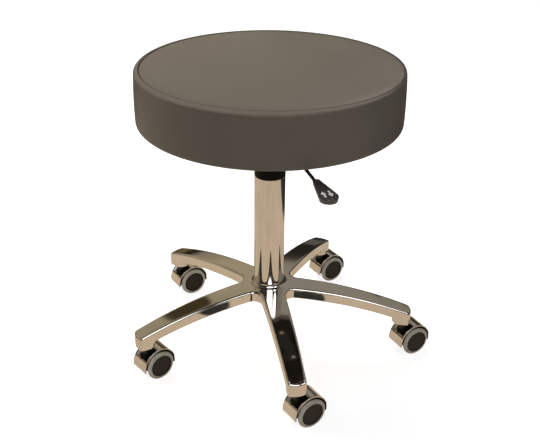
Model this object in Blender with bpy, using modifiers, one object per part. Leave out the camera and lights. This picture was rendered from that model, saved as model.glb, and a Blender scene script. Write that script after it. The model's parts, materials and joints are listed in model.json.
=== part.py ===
# Clinic stool: a round upholstered seat on a gas lift, a chromed five-arm base and
# hooded twin-wheel casters. Metres, +Z up. The origin is the floor point under the
# column's axis, and the seat stands a little above its lowest height.

import bmesh
import bpy
from math import cos, pi, radians, sin
from mathutils import Matrix

# Fits
GAP = 0.0003                # between pieces that touch
SLACK = 0.0003              # round a pin or rod that turns or slides

# Wheels and casters
WHEEL_RADIUS = 0.025
WHEEL_WIDTH = 0.0119
WHEEL_INSET = 0.0098        # from the caster's middle to a wheel's inner face
WHEEL_SIDES = 18            # a flat side stands on the floor
DISC_RADIUS = 0.018         # dark centre disc of a wheel
TREAD_FLAT = 0.0065         # level band of a tread
TREAD_SHOULDER = 0.0028     # drop of a tread's rounded shoulder
AXLE_RADIUS = 0.003
AXLE_COVER = 0.0022         # core left over each end of the axle
TRAIL = 0.0179              # axle behind the swivel axis
CASTER_HEADINGS = (40, 33, 29.5, 33, 32)    # degrees, as the casters came to rest
HOOD_WALL = 0.002
HOOD_CLEARANCE = 0.0023     # between a tread and the hood
HOOD_INSET = 0.0032         # hood's rim inside a wheel's outer face
HOOD_START = radians(-12)   # hood's edge behind the wheels
HOOD_END = radians(190)     # low apron on the stem's side
HOOD_STEPS = 12
WINDOW_START = radians(98)
WINDOW_END = radians(148)
WINDOW_RIM = 0.0030         # strip of hood beside the window
WINDOW_DEPTH = 0.007
WEB_WALL = 0.008            # plate between the two wheels
STEM_RADIUS = 0.0055
STEM_COLLAR_RADIUS = 0.0085
STEM_COLLAR = 0.0027
STEM_NECK = 0.0147          # bare stem between its collar and the caster's body
STEM_SEAT = 0.0035          # stem's foot below the axle's level
STEM_GRIP = 0.0185          # stem inside the arm
STEM_WALL = 0.0018          # caster's body round the stem
STEM_FLOOR = 0.0055         # caster's body under the stem
SWIVEL_GAP = 0.0110         # between a hood and its arm

# Star base
ARM_COUNT = 5
ARM_AZIMUTH = radians(208.75)
CASTER_CIRCLE = 0.2286
BOSS_RADIUS = 0.0148
BOSS_DEPTH = 0.0232
BOSS_EDGE = 0.0002          # boss inside the arm's end
BOSS_STEPS = 6
END_REACH = 0.0110          # arm's squared end past the swivel axis
END_CORNER = 0.0045
END_BOW = 0.0026
ARM_ROOT_HALF = 0.0198
ARM_DROP = 0.0325           # from the hub's crest to the caster circle
ARM_ARCH = 2.3              # power of the arms' curve, seen from the side
ARM_DEPTH = 0.018
ARM_WALL = 0.004
ARM_STATIONS = 5
WEB_FILLET = 0.0150         # between neighbouring arms, in plan
WEB_STEPS = 4
HUB_FILLET = 0.010          # sweep of the hub up to the tube
HUB_LIP = 0.0005
HUB_DEPTH = 0.0237
HUB_WALL = 0.006
COLUMN_SIDES = 25

# Column and gas lift
TUBE_RADIUS = 0.025
TUBE_WALL = 0.002
TUBE_LENGTH = 0.223
TUBE_TAPER = 0.001          # radius lost inside the hub
TUBE_PROUD = 0.0015         # tube below the hub
TUBE_FLOOR = 0.0025
BUSH_COLLAR = 0.020
BUSH_SLEEVE = 0.068
BUSH_OVERHANG = 0.0002
CYLINDER_RADIUS = 0.014
CYLINDER_WALL = 0.0015
CYLINDER_LENGTH = 0.2387
CYLINDER_CAP = 0.042
CYLINDER_TAPER = 0.001      # radius lost inside the socket
GAS_SIDES = 20
LIFT_UP = 0.110             # travel above the modelled height
REST_LIFT = 0.0225          # socket above the bush at the modelled height
PISTON_MARGIN = 0.004
PISTON_LENGTH = 0.012
ROD_RADIUS = 0.005
ROD_STEP = 0.001
ROD_END = 0.0015
ROD_SIDES = 12
GUIDE_LENGTH = 0.018
PIN_RADIUS = 0.004
PIN_LENGTH = 0.039
PIN_PROUD = 0.0055
RACE_WALL = 0.002
CAGE_HEIGHT = 0.0035
BEARING_RADIUS = 0.0125
BUMP_LENGTH = 0.016
BUMP_WALL = 0.006
CLIP_WALL = 0.0015
CLIP_RADIUS = 0.009
CLIP_GROOVE = 0.0008

# Seat plate and lever
PLATE_HALF = 0.075
PLATE_WALL = 0.0025
PLATE_CORNER = 0.012
PAN_RADIUS = 0.050
PAN_TAPER = 0.003
PAN_DEPTH = 0.028
SOCKET_WALL = 0.005
SOCKET_DROP = 0.0234        # socket below the pan
SOCKET_RISE = 0.005         # socket inside the pan
SOCKET_FLANGE = 0.004
SCREW_PITCH = 0.120
SCREW_RADIUS = 0.0025
SCREW_POINT = 0.002
SCREW_HEAD_RADIUS = 0.0058
SCREW_HEAD = 0.0032
SCREW_BITE = 0.009
SCREW_SIDES = 12
LEVER_AZIMUTH = radians(-73.0)
LEVER_RISE = 0.0173         # rod above the pan's underside
LEVER_PIVOT = 0.039         # pivot from the column's axis
LEVER_ROD_RADIUS = 0.0025
LEVER_OVERRUN = 0.006       # rod past the column's axis
LEVER_HUB_HALF = 0.006
LEVER_HUB_LENGTH = 0.009
LEVER_HUB_WALL = 0.002
TRUNNION_RADIUS = 0.002
EAR_WALL = 0.003
EAR_WIDTH = 0.010
EAR_EDGE = 0.0025
SLOT_SIDE = 0.002           # room beside the rod in the pan's wall
SLOT_RISE = 0.004           # room above and below it
PADDLE_CLEAR = 0.0058       # paddle outside the seat's edge
PADDLE_LENGTH = 0.0668
PADDLE_HALF = 0.0134
PADDLE_NECK = 0.0044
PADDLE_THICKNESS = 0.0085
PADDLE_ROUND = 0.0014
PADDLE_RIM = 0.0028
PADDLE_DISH = 0.0012
PADDLE_SOCKET = 0.034
PADDLE_SWEEP = radians(100)

# Seat
SEAT_RADIUS = 0.2060
SEAT_THICKNESS = 0.0875
SEAT_CROWN = 0.0028
SEAT_FLAT = 0.060           # radius of the crown's level centre
SEAT_FLARE = 0.0008         # side widens towards its foot
SEAT_TOP_ROUND = 0.0092     # rolled edge outside the seam
SEAT_TOP_DROP = 0.0056      # its height
SEAT_FOOT_ROUND = 0.0075
SEAT_SIDES = 44
CROWN_STEPS = 3
SEAM_WIDTH = 0.0032
SEAM_DEPTH = 0.0012
COVER_WALL = 0.002
COVER_FLAP = 0.030
BOARD_THICKNESS = 0.012

# Heights, from the floor up
axle_height = WHEEL_RADIUS * cos(pi / WHEEL_SIDES)
hood_inner = WHEEL_RADIUS + HOOD_CLEARANCE
hood_outer = hood_inner + HOOD_WALL
boss_bottom = axle_height + hood_outer + SWIVEL_GAP
tip_top = boss_bottom + BOSS_DEPTH
arm_crest = tip_top + ARM_DROP
hub_bottom = arm_crest - HUB_DEPTH
tube_bottom = hub_bottom - TUBE_PROUD
tube_top = tube_bottom + TUBE_LENGTH
bush_top = tube_top + GAP + BUSH_COLLAR
socket_bottom = bush_top + REST_LIFT
pan_bottom = socket_bottom + SOCKET_DROP
pan_floor = pan_bottom + PLATE_WALL
socket_top = pan_floor + SOCKET_RISE
plate_top = pan_bottom + PAN_DEPTH
lever_height = pan_bottom + LEVER_RISE
pin_top = lever_height - LEVER_ROD_RADIUS - GAP
cylinder_top = pin_top - PIN_PROUD
cylinder_bottom = cylinder_top - CYLINDER_LENGTH
seat_bottom = plate_top + GAP
seat_top = seat_bottom + SEAT_THICKNESS
seat_edge = seat_top - SEAT_CROWN
board_bottom = seat_bottom + COVER_WALL + GAP
board_top = board_bottom + BOARD_THICKNESS

# Radii that several pieces share
seam_radius = SEAT_RADIUS - SEAT_TOP_ROUND
foot_radius = SEAT_RADIUS + SEAT_FLARE
foot_centre = foot_radius - SEAT_FOOT_ROUND
flap_radius = foot_centre - COVER_FLAP
stem_bore = STEM_RADIUS + SLACK
body_radius = stem_bore + STEM_WALL
wheel_face = WHEEL_INSET + WHEEL_WIDTH
axle_half = wheel_face - AXLE_COVER - GAP
socket_outer = CYLINDER_RADIUS + GAP + SOCKET_WALL
rod_neck = ROD_RADIUS - ROD_STEP
paddle_start = SEAT_RADIUS + PADDLE_CLEAR


def clear_scene():
    for obj in list(bpy.data.objects):
        bpy.data.objects.remove(obj, do_unlink=True)
    for mesh in list(bpy.data.meshes):
        bpy.data.meshes.remove(mesh)


clear_scene()
stool = bpy.data.collections.new("medical_rolling_stool")
bpy.context.scene.collection.children.link(stool)


def material(name, colour, roughness, metallic):
    made = bpy.data.materials.new(name)
    made.use_nodes = True
    shader = made.node_tree.nodes["Principled BSDF"]
    shader.inputs["Base Color"].default_value = (*colour, 1)
    shader.inputs["Roughness"].default_value = roughness
    shader.inputs["Metallic"].default_value = metallic
    return made


vinyl = material("taupe_vinyl", (0.155, 0.135, 0.112), 0.5, 0)
foam = material("foam", (0.75, 0.68, 0.45), 0.95, 0)
plywood = material("plywood", (0.52, 0.36, 0.20), 0.8, 0)
cloth = material("black_cloth", (0.012, 0.012, 0.012), 0.95, 0)
chrome = material("chrome", (0.72, 0.69, 0.64), 0.06, 1)
bright_steel = material("bright_steel", (0.56, 0.56, 0.57), 0.28, 1)
black_steel = material("black_steel", (0.014, 0.014, 0.014), 0.45, 0)
black_plastic = material("black_plastic", (0.012, 0.012, 0.012), 0.42, 0)
wheel_plastic = material("wheel_plastic", (0.026, 0.022, 0.017), 0.5, 0)
grey_tread = material("grey_tread", (0.37, 0.34, 0.29), 0.55, 0)
rubber = material("rubber", (0.02, 0.02, 0.02), 0.8, 0)
brass = material("brass", (0.60, 0.42, 0.17), 0.35, 1)


def arc(x, y, radius, start, end, steps):
    turns = [start + (end - start) * i / steps for i in range(steps + 1)]
    return [(x + radius * cos(a), y + radius * sin(a)) for a in turns]


def circle(x, y, radius, sides):
    return arc(x, y, radius, 0, 2 * pi, sides)[:-1]


def linked(name, data):
    obj = bpy.data.objects.new(name, data)
    stool.objects.link(obj)
    return obj


def settled(obj):
    # Turns a curve, or a mesh with modifiers, into a plain mesh object.
    graph = bpy.context.evaluated_depsgraph_get()
    mesh = bpy.data.meshes.new_from_object(obj.evaluated_get(graph))
    name = obj.name
    bpy.data.objects.remove(obj, do_unlink=True)
    shape = bmesh.new()
    shape.from_mesh(mesh)
    bmesh.ops.remove_doubles(shape, verts=shape.verts, dist=1e-7)
    shape.to_mesh(mesh)
    shape.free()
    return linked(name, mesh)


def turned(name, profile, sides):
    # The profile runs down the outer side. It is a ring if it keeps off the axis.
    count = len(profile)
    edges = [(i, i + 1) for i in range(count - 1)]
    if all(r > 0 for r, z in profile):
        edges.append((count - 1, 0))
    mesh = bpy.data.meshes.new(name)
    mesh.from_pydata([(r, 0, z) for r, z in profile], edges, [])
    obj = linked(name, mesh)
    screw = obj.modifiers.new("turn", "SCREW")
    screw.steps = sides
    screw.render_steps = sides
    screw.use_merge_vertices = True
    screw.merge_threshold = 1e-6
    return settled(obj)


def prism(name, loops, low, high):
    curve = bpy.data.curves.new(name, "CURVE")
    curve.dimensions = "2D"
    curve.fill_mode = "BOTH"
    curve.extrude = (high - low) / 2
    for loop in loops:
        spline = curve.splines.new("POLY")
        spline.points.add(len(loop) - 1)
        for point, (x, y) in zip(spline.points, loop):
            point.co = (x, y, 0, 1)
        spline.use_cyclic_u = True
    obj = settled(linked(name, curve))
    obj.data.transform(Matrix.Translation((0, 0, (low + high) / 2)))
    return obj


def cylinder(name, radius, low, high, sides):
    mesh = bpy.data.meshes.new(name)
    shape = bmesh.new()
    bmesh.ops.create_cone(shape, cap_ends=True, segments=sides, radius1=radius,
                          radius2=radius, depth=high - low)
    shape.to_mesh(mesh)
    shape.free()
    mesh.transform(Matrix.Translation((0, 0, (low + high) / 2)))
    return linked(name, mesh)


def box(name, low, high):
    mesh = bpy.data.meshes.new(name)
    shape = bmesh.new()
    bmesh.ops.create_cube(shape, size=1)
    shape.to_mesh(mesh)
    shape.free()
    size = [b - a for a, b in zip(low, high)]
    middle = [(a + b) / 2 for a, b in zip(low, high)]
    mesh.transform(Matrix.Translation(middle) @ Matrix.Diagonal((*size, 1)))
    return linked(name, mesh)


def moved(obj, x=0, y=0, z=0, turn=None):
    if turn:
        obj.data.transform(Matrix.Rotation(turn[0], 4, turn[1]))
    obj.data.transform(Matrix.Translation((x, y, z)))
    return obj


def combined(obj, tool, operation):
    bpy.context.view_layer.update()
    step = obj.modifiers.new(operation.lower(), "BOOLEAN")
    step.operation = operation
    step.object = tool
    result = settled(obj)
    bpy.data.objects.remove(tool, do_unlink=True)
    return result


def cut(obj, tool):
    return combined(obj, tool, "DIFFERENCE")


def joined(obj, tool):
    return combined(obj, tool, "UNION")


def empty(name, x, y, z, heading=0):
    obj = linked(name, None)
    obj.location = (x, y, z)
    obj.rotation_euler = (0, 0, heading)
    return obj


def finished(obj, name, look, parent=None, x=0, y=0, z=0, turn=(0, 0, 0)):
    obj.name = name
    obj.data.name = name
    obj.data.materials.clear()
    obj.data.materials.append(look)
    obj.data.shade_smooth()
    obj.data.set_sharp_from_angle(angle=radians(35))
    obj.parent = parent
    obj.location = (x, y, z)
    obj.rotation_euler = turn
    return obj


def repeated(obj, name, parent=None, x=0, y=0, z=0, turn=(0, 0, 0)):
    copy = linked(name, obj.data)
    copy.parent = parent
    copy.location = (x, y, z)
    copy.rotation_euler = turn
    return copy


# Seat
def crown_height(radius):
    share = max(0, (radius - SEAT_FLAT) / (seam_radius - SEAT_FLAT))
    return seat_top - SEAT_CROWN * share ** 2


def crown_path(end, inset):
    radii = [SEAT_FLAT + (end - SEAT_FLAT) * i / CROWN_STEPS for i in range(CROWN_STEPS + 1)]
    return [(r, crown_height(r) - inset) for r in radii]


def top_round(inset, steps):
    across = SEAT_TOP_ROUND - inset
    down = SEAT_TOP_DROP - inset
    bend = arc(0, 0, 1, pi / 2, 0, steps)
    return [(seam_radius + across * x, seat_edge - SEAT_TOP_DROP + down * y) for x, y in bend]


def foot_round(inset, steps):
    return arc(foot_centre, seat_bottom + SEAT_FOOT_ROUND, SEAT_FOOT_ROUND - inset, 0, -pi / 2, steps)


def make_seat():
    seam = [(seam_radius - SEAM_WIDTH / 2, seat_edge - SEAM_DEPTH)]
    outside = [(0, seat_top)] + crown_path(seam_radius - SEAM_WIDTH, 0) + seam
    outside += top_round(0, 4) + foot_round(0, 4) + [(flap_radius, seat_bottom)]
    inside = [(0, seat_top - COVER_WALL)] + crown_path(seam_radius - SEAM_WIDTH, COVER_WALL)
    inside += top_round(COVER_WALL, 2) + foot_round(COVER_WALL, 2)
    inside += [(flap_radius, seat_bottom + COVER_WALL)]
    cover = turned("cover", outside + inside[::-1], SEAT_SIDES)
    finished(cover, "seat_cover", vinyl)

    inset = COVER_WALL + GAP
    block = [(0, seat_top - inset)] + crown_path(seam_radius - SEAM_WIDTH, inset)
    block += top_round(inset, 1)
    block += [(foot_radius - inset, board_top + GAP), (0, board_top + GAP)]
    finished(turned("foam", block, SEAT_SIDES), "seat_foam", foam)

    chamfer = min(board_top, seat_bottom + SEAT_FOOT_ROUND)
    disc = [(0, board_top), (foot_radius - inset, board_top), (foot_radius - inset, chamfer)]
    disc += [(foot_centre, board_bottom), (0, board_bottom)]
    board = turned("board", disc, SEAT_SIDES)
    hole_top = board_bottom + SCREW_BITE + GAP
    for x, y in screw_places():
        hole = cylinder("hole", SCREW_RADIUS + GAP, board_bottom - BOARD_THICKNESS, hole_top, SCREW_SIDES)
        board = cut(board, moved(hole, x, y, turn=(LEVER_AZIMUTH, "Z")))
    finished(board, "seat_board", plywood)

    sheet = seat_bottom + COVER_WALL
    edge = flap_radius - GAP
    dust = turned("dust", [(0, sheet), (edge, sheet), (edge, seat_bottom), (0, seat_bottom)], SEAT_SIDES)
    for x, y in screw_places():
        hole = cylinder("hole", SCREW_RADIUS + GAP, seat_bottom - COVER_WALL, sheet + COVER_WALL, SCREW_SIDES)
        dust = cut(dust, moved(hole, x, y, turn=(LEVER_AZIMUTH, "Z")))
    finished(dust, "seat_dust_cover", cloth)


# Seat plate, socket and screws
def screw_places():
    # Square pattern that is turned to face the lever.
    reach = SCREW_PITCH / 2 * 2 ** 0.5
    corners = [LEVER_AZIMUTH + pi / 4 + i * pi / 2 for i in range(4)]
    return [(reach * cos(a), reach * sin(a)) for a in corners]


def rounded_square(half, radius):
    inner = half - radius
    points = []
    for i, (x, y) in enumerate([(inner, inner), (-inner, inner), (-inner, -inner), (inner, -inner)]):
        points += arc(x, y, radius, i * pi / 2, (i + 1) * pi / 2, 3)
    return points


def make_plate():
    hole = socket_outer + GAP
    pan_foot = PAN_RADIUS - PAN_TAPER
    pan = [(PAN_RADIUS, plate_top), (pan_foot, pan_bottom), (hole, pan_bottom), (hole, pan_floor)]
    pan += [(pan_foot - PLATE_WALL, pan_floor), (PAN_RADIUS - PLATE_WALL, plate_top)]
    plate = turned("pan", pan, GAS_SIDES)
    half = SCREW_PITCH / 2
    loops = [rounded_square(PLATE_HALF, PLATE_CORNER)]
    loops += [circle(0, 0, PAN_RADIUS - PLATE_WALL / 2, GAS_SIDES)]
    loops += [circle(x, y, SCREW_RADIUS + GAP, SCREW_SIDES) for x in (half, -half) for y in (half, -half)]
    plate = joined(plate, prism("flange", loops, plate_top - PLATE_WALL, plate_top))

    ear_inner = LEVER_HUB_HALF + SLACK
    ear_top = lever_height + TRUNNION_RADIUS + SLACK + EAR_EDGE
    for side in (1, -1):
        faces = sorted((side * ear_inner, side * (ear_inner + EAR_WALL)))
        low = (LEVER_PIVOT - EAR_WIDTH / 2, faces[0], pan_floor - PLATE_WALL / 2)
        high = (LEVER_PIVOT + EAR_WIDTH / 2, faces[1], ear_top)
        plate = joined(plate, box("ear", low, high))
    reach = ear_inner + 2 * EAR_WALL
    pivot = cylinder("pivot", TRUNNION_RADIUS + SLACK, -reach, reach, SCREW_SIDES)
    plate = cut(plate, moved(pivot, LEVER_PIVOT, 0, lever_height, turn=(pi / 2, "X")))

    slot = LEVER_ROD_RADIUS + SLOT_SIDE
    low = (PAN_RADIUS - 2 * PLATE_WALL - PAN_TAPER, -slot, lever_height - LEVER_ROD_RADIUS - SLOT_RISE)
    high = (PAN_RADIUS + PLATE_WALL, slot, lever_height + LEVER_ROD_RADIUS + SLOT_RISE)
    plate = cut(plate, box("slot", low, high))
    finished(plate, "seat_plate", black_steel, turn=(0, 0, LEVER_AZIMUTH))

    flange_top = pan_bottom - GAP
    flange_radius = socket_outer + SOCKET_FLANGE
    flange_bottom = flange_top - SOCKET_FLANGE
    socket = [(socket_outer, socket_top), (socket_outer, flange_top), (flange_radius, flange_top)]
    socket += [(flange_radius, flange_bottom), (socket_outer, flange_bottom), (socket_outer, socket_bottom)]
    socket += [(CYLINDER_RADIUS + GAP, socket_bottom), (taper_radius(socket_top) + GAP, socket_top)]
    finished(turned("socket", socket, GAS_SIDES), "taper_socket", black_steel)

    head_top = plate_top - PLATE_WALL - GAP
    head_bottom = head_top - SCREW_HEAD
    tip = board_bottom + SCREW_BITE
    body = [(0, tip), (SCREW_RADIUS, tip - SCREW_POINT), (SCREW_RADIUS, head_top)]
    body += [(SCREW_HEAD_RADIUS, head_top), (SCREW_HEAD_RADIUS, head_bottom), (0, head_bottom)]
    screw = turned("screw", body, SCREW_SIDES)
    places = screw_places()
    finished(screw, "plate_screw_1", bright_steel, None, *places[0], 0, (0, 0, LEVER_AZIMUTH))
    for i, (x, y) in enumerate(places[1:], 2):
        repeated(screw, f"plate_screw_{i}", None, x, y, 0, (0, 0, LEVER_AZIMUTH))


# Height lever
def paddle_outline(inset):
    centre = PADDLE_LENGTH - PADDLE_HALF
    neck = PADDLE_NECK - inset / 2
    points = [(inset * 2, -neck)]
    points += arc(centre, 0, PADDLE_HALF - inset, -PADDLE_SWEEP, PADDLE_SWEEP, 14)
    return points + [(inset * 2, neck)]


def make_lever():
    pivot = empty("lever_pivot", LEVER_PIVOT * cos(LEVER_AZIMUTH), LEVER_PIVOT * sin(LEVER_AZIMUTH),
                  lever_height, LEVER_AZIMUTH)
    along = (pi / 2, "Y")
    start = -LEVER_PIVOT - LEVER_OVERRUN
    end = paddle_start + PADDLE_SOCKET - LEVER_PIVOT
    rod = moved(cylinder("rod", LEVER_ROD_RADIUS, start, end, SCREW_SIDES), turn=along)
    finished(rod, "lever_rod", black_steel, pivot)

    half_height = LEVER_ROD_RADIUS + GAP + LEVER_HUB_WALL
    half_length = LEVER_HUB_LENGTH / 2
    corner = (half_length, LEVER_HUB_HALF, half_height)
    hub = box("hub", [-size for size in corner], corner)
    reach = LEVER_HUB_HALF + SLACK + EAR_WALL
    trunnion = cylinder("trunnion", TRUNNION_RADIUS, -reach, reach, SCREW_SIDES)
    hub = joined(hub, moved(trunnion, turn=(pi / 2, "X")))
    bore = cylinder("bore", LEVER_ROD_RADIUS + GAP, -LEVER_HUB_LENGTH, LEVER_HUB_LENGTH, SCREW_SIDES)
    hub = cut(hub, moved(bore, turn=along))
    finished(hub, "lever_hub", bright_steel, pivot)

    half = PADDLE_THICKNESS / 2
    paddle = prism("paddle", [paddle_outline(0)], -half, half)
    edges = paddle.modifiers.new("edges", "BEVEL")
    edges.width = PADDLE_ROUND
    edges.segments = 2
    edges.limit_method = "ANGLE"
    edges.angle_limit = radians(60)
    paddle = settled(paddle)
    paddle = cut(paddle, prism("dish", [paddle_outline(PADDLE_RIM)], half - PADDLE_DISH, half + PADDLE_DISH))
    bore = cylinder("bore", LEVER_ROD_RADIUS + GAP, -PADDLE_SOCKET, PADDLE_SOCKET + GAP, SCREW_SIDES)
    paddle = cut(paddle, moved(bore, turn=along))
    finished(paddle, "lever_paddle", black_plastic, pivot, paddle_start - LEVER_PIVOT)


# Column and gas lift
def taper_radius(height):
    share = (height - socket_bottom) / (cylinder_top - socket_bottom)
    return CYLINDER_RADIUS - CYLINDER_TAPER * share


def ring(outer, inner, low, high):
    return [(outer, high), (outer, low), (inner, low), (inner, high)]


def make_column(base):
    hub_top = hub_top_height()
    foot = TUBE_RADIUS - TUBE_TAPER
    floor = tube_bottom + TUBE_FLOOR
    tube = [(TUBE_RADIUS, tube_top), (TUBE_RADIUS, hub_top), (foot, hub_bottom), (foot, tube_bottom)]
    tube += [(ROD_RADIUS + SLACK, tube_bottom), (ROD_RADIUS + SLACK, floor), (foot - TUBE_WALL, floor)]
    tube += [(foot - TUBE_WALL, hub_bottom + TUBE_FLOOR), (TUBE_RADIUS - TUBE_WALL, hub_top)]
    tube += [(TUBE_RADIUS - TUBE_WALL, tube_top)]
    finished(turned("tube", tube, COLUMN_SIDES), "column_tube", chrome, base)

    collar = TUBE_RADIUS + BUSH_OVERHANG
    sleeve = TUBE_RADIUS - TUBE_WALL - GAP
    sleeve_bottom = tube_top - BUSH_SLEEVE
    bore = CYLINDER_RADIUS + SLACK
    bush = [(collar, bush_top), (collar, tube_top + GAP), (sleeve, tube_top + GAP)]
    bush += [(sleeve, sleeve_bottom), (bore, sleeve_bottom), (bore, bush_top)]
    finished(turned("bush", bush, COLUMN_SIDES), "guide_bush", black_plastic, base)


def make_gas_lift():
    chamber = CYLINDER_RADIUS - CYLINDER_WALL
    chamber_top = cylinder_top - CYLINDER_CAP
    pin_bore = PIN_RADIUS + SLACK
    wall = [(taper_radius(cylinder_top), cylinder_top), (CYLINDER_RADIUS, socket_bottom)]
    wall += [(CYLINDER_RADIUS, cylinder_bottom), (chamber, cylinder_bottom), (chamber, chamber_top)]
    wall += [(pin_bore, chamber_top), (pin_bore, cylinder_top)]
    finished(turned("cylinder", wall, GAS_SIDES), "gas_cylinder", black_steel)

    pin = cylinder("pin", PIN_RADIUS, pin_top - PIN_LENGTH, pin_top, SCREW_SIDES)
    finished(pin, "release_pin", bright_steel)

    guide_top = cylinder_bottom + GUIDE_LENGTH
    guide = ring(chamber - GAP, ROD_RADIUS + SLACK, cylinder_bottom, guide_top)
    finished(turned("guide", guide, GAS_SIDES), "rod_guide", rubber)

    race_inner = rod_neck + SLACK
    lower = tube_bottom + TUBE_FLOOR + GAP
    cage = lower + RACE_WALL + GAP
    upper = cage + CAGE_HEIGHT + GAP
    shoulder = upper + RACE_WALL + GAP
    lower_race = ring(BEARING_RADIUS, race_inner, lower, lower + RACE_WALL)
    finished(turned("race", lower_race, ROD_SIDES), "bearing_lower_race", bright_steel)
    balls = ring(BEARING_RADIUS, race_inner, cage, cage + CAGE_HEIGHT)
    finished(turned("cage", balls, ROD_SIDES), "bearing_cage", brass)
    upper_race = ring(BEARING_RADIUS, race_inner, upper, upper + RACE_WALL)
    finished(turned("race", upper_race, ROD_SIDES), "bearing_upper_race", bright_steel)
    bump = ring(ROD_RADIUS + GAP + BUMP_WALL, ROD_RADIUS + GAP, shoulder, shoulder + BUMP_LENGTH)
    finished(turned("bump", bump, ROD_SIDES), "bump_stop", rubber)

    clip_top = tube_bottom - GAP
    clip_bottom = clip_top - CLIP_WALL
    groove = rod_neck - CLIP_GROOVE
    clip = ring(CLIP_RADIUS, groove + GAP, clip_bottom, clip_top)
    finished(turned("clip", clip, ROD_SIDES), "retaining_clip", bright_steel)

    piston_bottom = guide_top + LIFT_UP + PISTON_MARGIN
    piston_top = piston_bottom + PISTON_LENGTH
    rod_bottom = clip_bottom - GAP - ROD_END
    rod = [(0, piston_top), (chamber - SLACK, piston_top), (chamber - SLACK, piston_bottom)]
    rod += [(ROD_RADIUS, piston_bottom), (ROD_RADIUS, shoulder), (rod_neck, shoulder)]
    rod += [(rod_neck, clip_top + GAP), (groove, clip_top + GAP), (groove, clip_bottom - GAP)]
    rod += [(rod_neck, clip_bottom - GAP), (rod_neck, rod_bottom), (0, rod_bottom)]
    finished(turned("rod", rod, ROD_SIDES), "piston_rod", bright_steel)


# Star base, built with its first arm along +X
def crest(radius):
    return arm_crest - ARM_DROP * (radius / CASTER_CIRCLE) ** ARM_ARCH


def hub_fillet_centre():
    radius = TUBE_RADIUS + GAP + HUB_LIP + HUB_FILLET
    return radius, crest(radius) + HUB_FILLET


def hub_top_height():
    return hub_fillet_centre()[1]


def arm_radii(start, end):
    return [start + (end - start) * i / ARM_STATIONS for i in range(ARM_STATIONS + 1)]


def web_centre():
    return (ARM_ROOT_HALF + WEB_FILLET) / sin(pi / ARM_COUNT)


def arm_half(radius):
    root = web_centre() * cos(pi / ARM_COUNT)
    share = (radius - root) / (CASTER_CIRCLE - root)
    return ARM_ROOT_HALF + (BOSS_RADIUS - ARM_ROOT_HALF) * share


def about_arm(points, turn):
    return [(x * cos(turn) - y * sin(turn), x * sin(turn) + y * cos(turn)) for x, y in points]


def end_outline(inset):
    # Squared end of an arm with round corners and a slight bow.
    half = BOSS_RADIUS - END_CORNER
    x = CASTER_CIRCLE + END_REACH
    round_off = END_CORNER - inset
    points = arc(x - END_CORNER, -half, round_off, -pi / 2, 0, 3)
    for share in (-0.6, -0.2, 0.2, 0.6):
        points.append((x - inset + END_BOW * (1 - share ** 2), share * half))
    return points + arc(x - END_CORNER, half, round_off, 0, pi / 2, 3)


def boss_outline():
    back = arc(CASTER_CIRCLE, 0, BOSS_RADIUS - BOSS_EDGE, pi / 2, 3 * pi / 2, BOSS_STEPS)
    return end_outline(BOSS_EDGE) + back


def star_outline():
    step = 2 * pi / ARM_COUNT
    tip = [(CASTER_CIRCLE, -BOSS_RADIUS)] + end_outline(0) + [(CASTER_CIRCLE, BOSS_RADIUS)]
    middle = web_centre()
    x = middle * cos(step / 2)
    y = middle * sin(step / 2)
    web = arc(x, y, WEB_FILLET, -pi / 2, step - 3 * pi / 2, WEB_STEPS)
    points = []
    for i in range(ARM_COUNT):
        points += about_arm(tip + web, i * step)
    return points


def channel_outlines():
    start = web_centre()
    end = CASTER_CIRCLE - BOSS_RADIUS - ARM_WALL
    wide = arm_half(start) - ARM_WALL
    narrow = arm_half(end) - ARM_WALL
    shape = [(start, -wide), (end, -narrow), (end, narrow), (start, wide)]
    return [about_arm(shape, i * 2 * pi / ARM_COUNT) for i in range(ARM_COUNT)]


def make_base(base):
    fillet_radius, fillet_height = hub_fillet_centre()
    bore = TUBE_RADIUS + GAP
    hub_radius = bore + HUB_WALL
    end = CASTER_CIRCLE + BOSS_RADIUS + ARM_WALL
    sweep = arc(fillet_radius, fillet_height, HUB_FILLET, pi, 3 * pi / 2, 4)
    top = arm_radii(fillet_radius, end)[1:]
    profile = [(bore, fillet_height)] + sweep + [(r, crest(r)) for r in top]
    profile += [(r, crest(r) - ARM_DEPTH) for r in arm_radii(end, hub_radius)]
    profile += [(hub_radius, hub_bottom), (bore - TUBE_TAPER, hub_bottom)]
    star = turned("star", profile, COLUMN_SIDES)
    below = boss_bottom - BOSS_DEPTH
    plan = prism("plan", [star_outline()], below, fillet_height + HUB_FILLET)
    star = combined(star, plan, "INTERSECT")

    lowered = [(r, crest(r) - ARM_WALL) for r in arm_radii(hub_radius, end)]
    hollow = turned("hollow", lowered + [(end, below), (hub_radius, below)], COLUMN_SIDES)
    channels = prism("channels", channel_outlines(), below, fillet_height)
    star = cut(star, combined(hollow, channels, "INTERSECT"))

    boss_top = tip_top - ARM_DEPTH / 2
    stem_top = boss_bottom + STEM_GRIP + GAP
    for i in range(ARM_COUNT):
        turn = i * 2 * pi / ARM_COUNT
        x = CASTER_CIRCLE * cos(turn)
        y = CASTER_CIRCLE * sin(turn)
        boss = prism("boss", [boss_outline()], boss_bottom, boss_top)
        star = joined(star, moved(boss, turn=(turn, "Z")))
        hole = cylinder("hole", STEM_RADIUS + GAP, below, stem_top, ROD_SIDES)
        star = cut(star, moved(hole, x, y))
    finished(star, "star_base", chrome, base)


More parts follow.
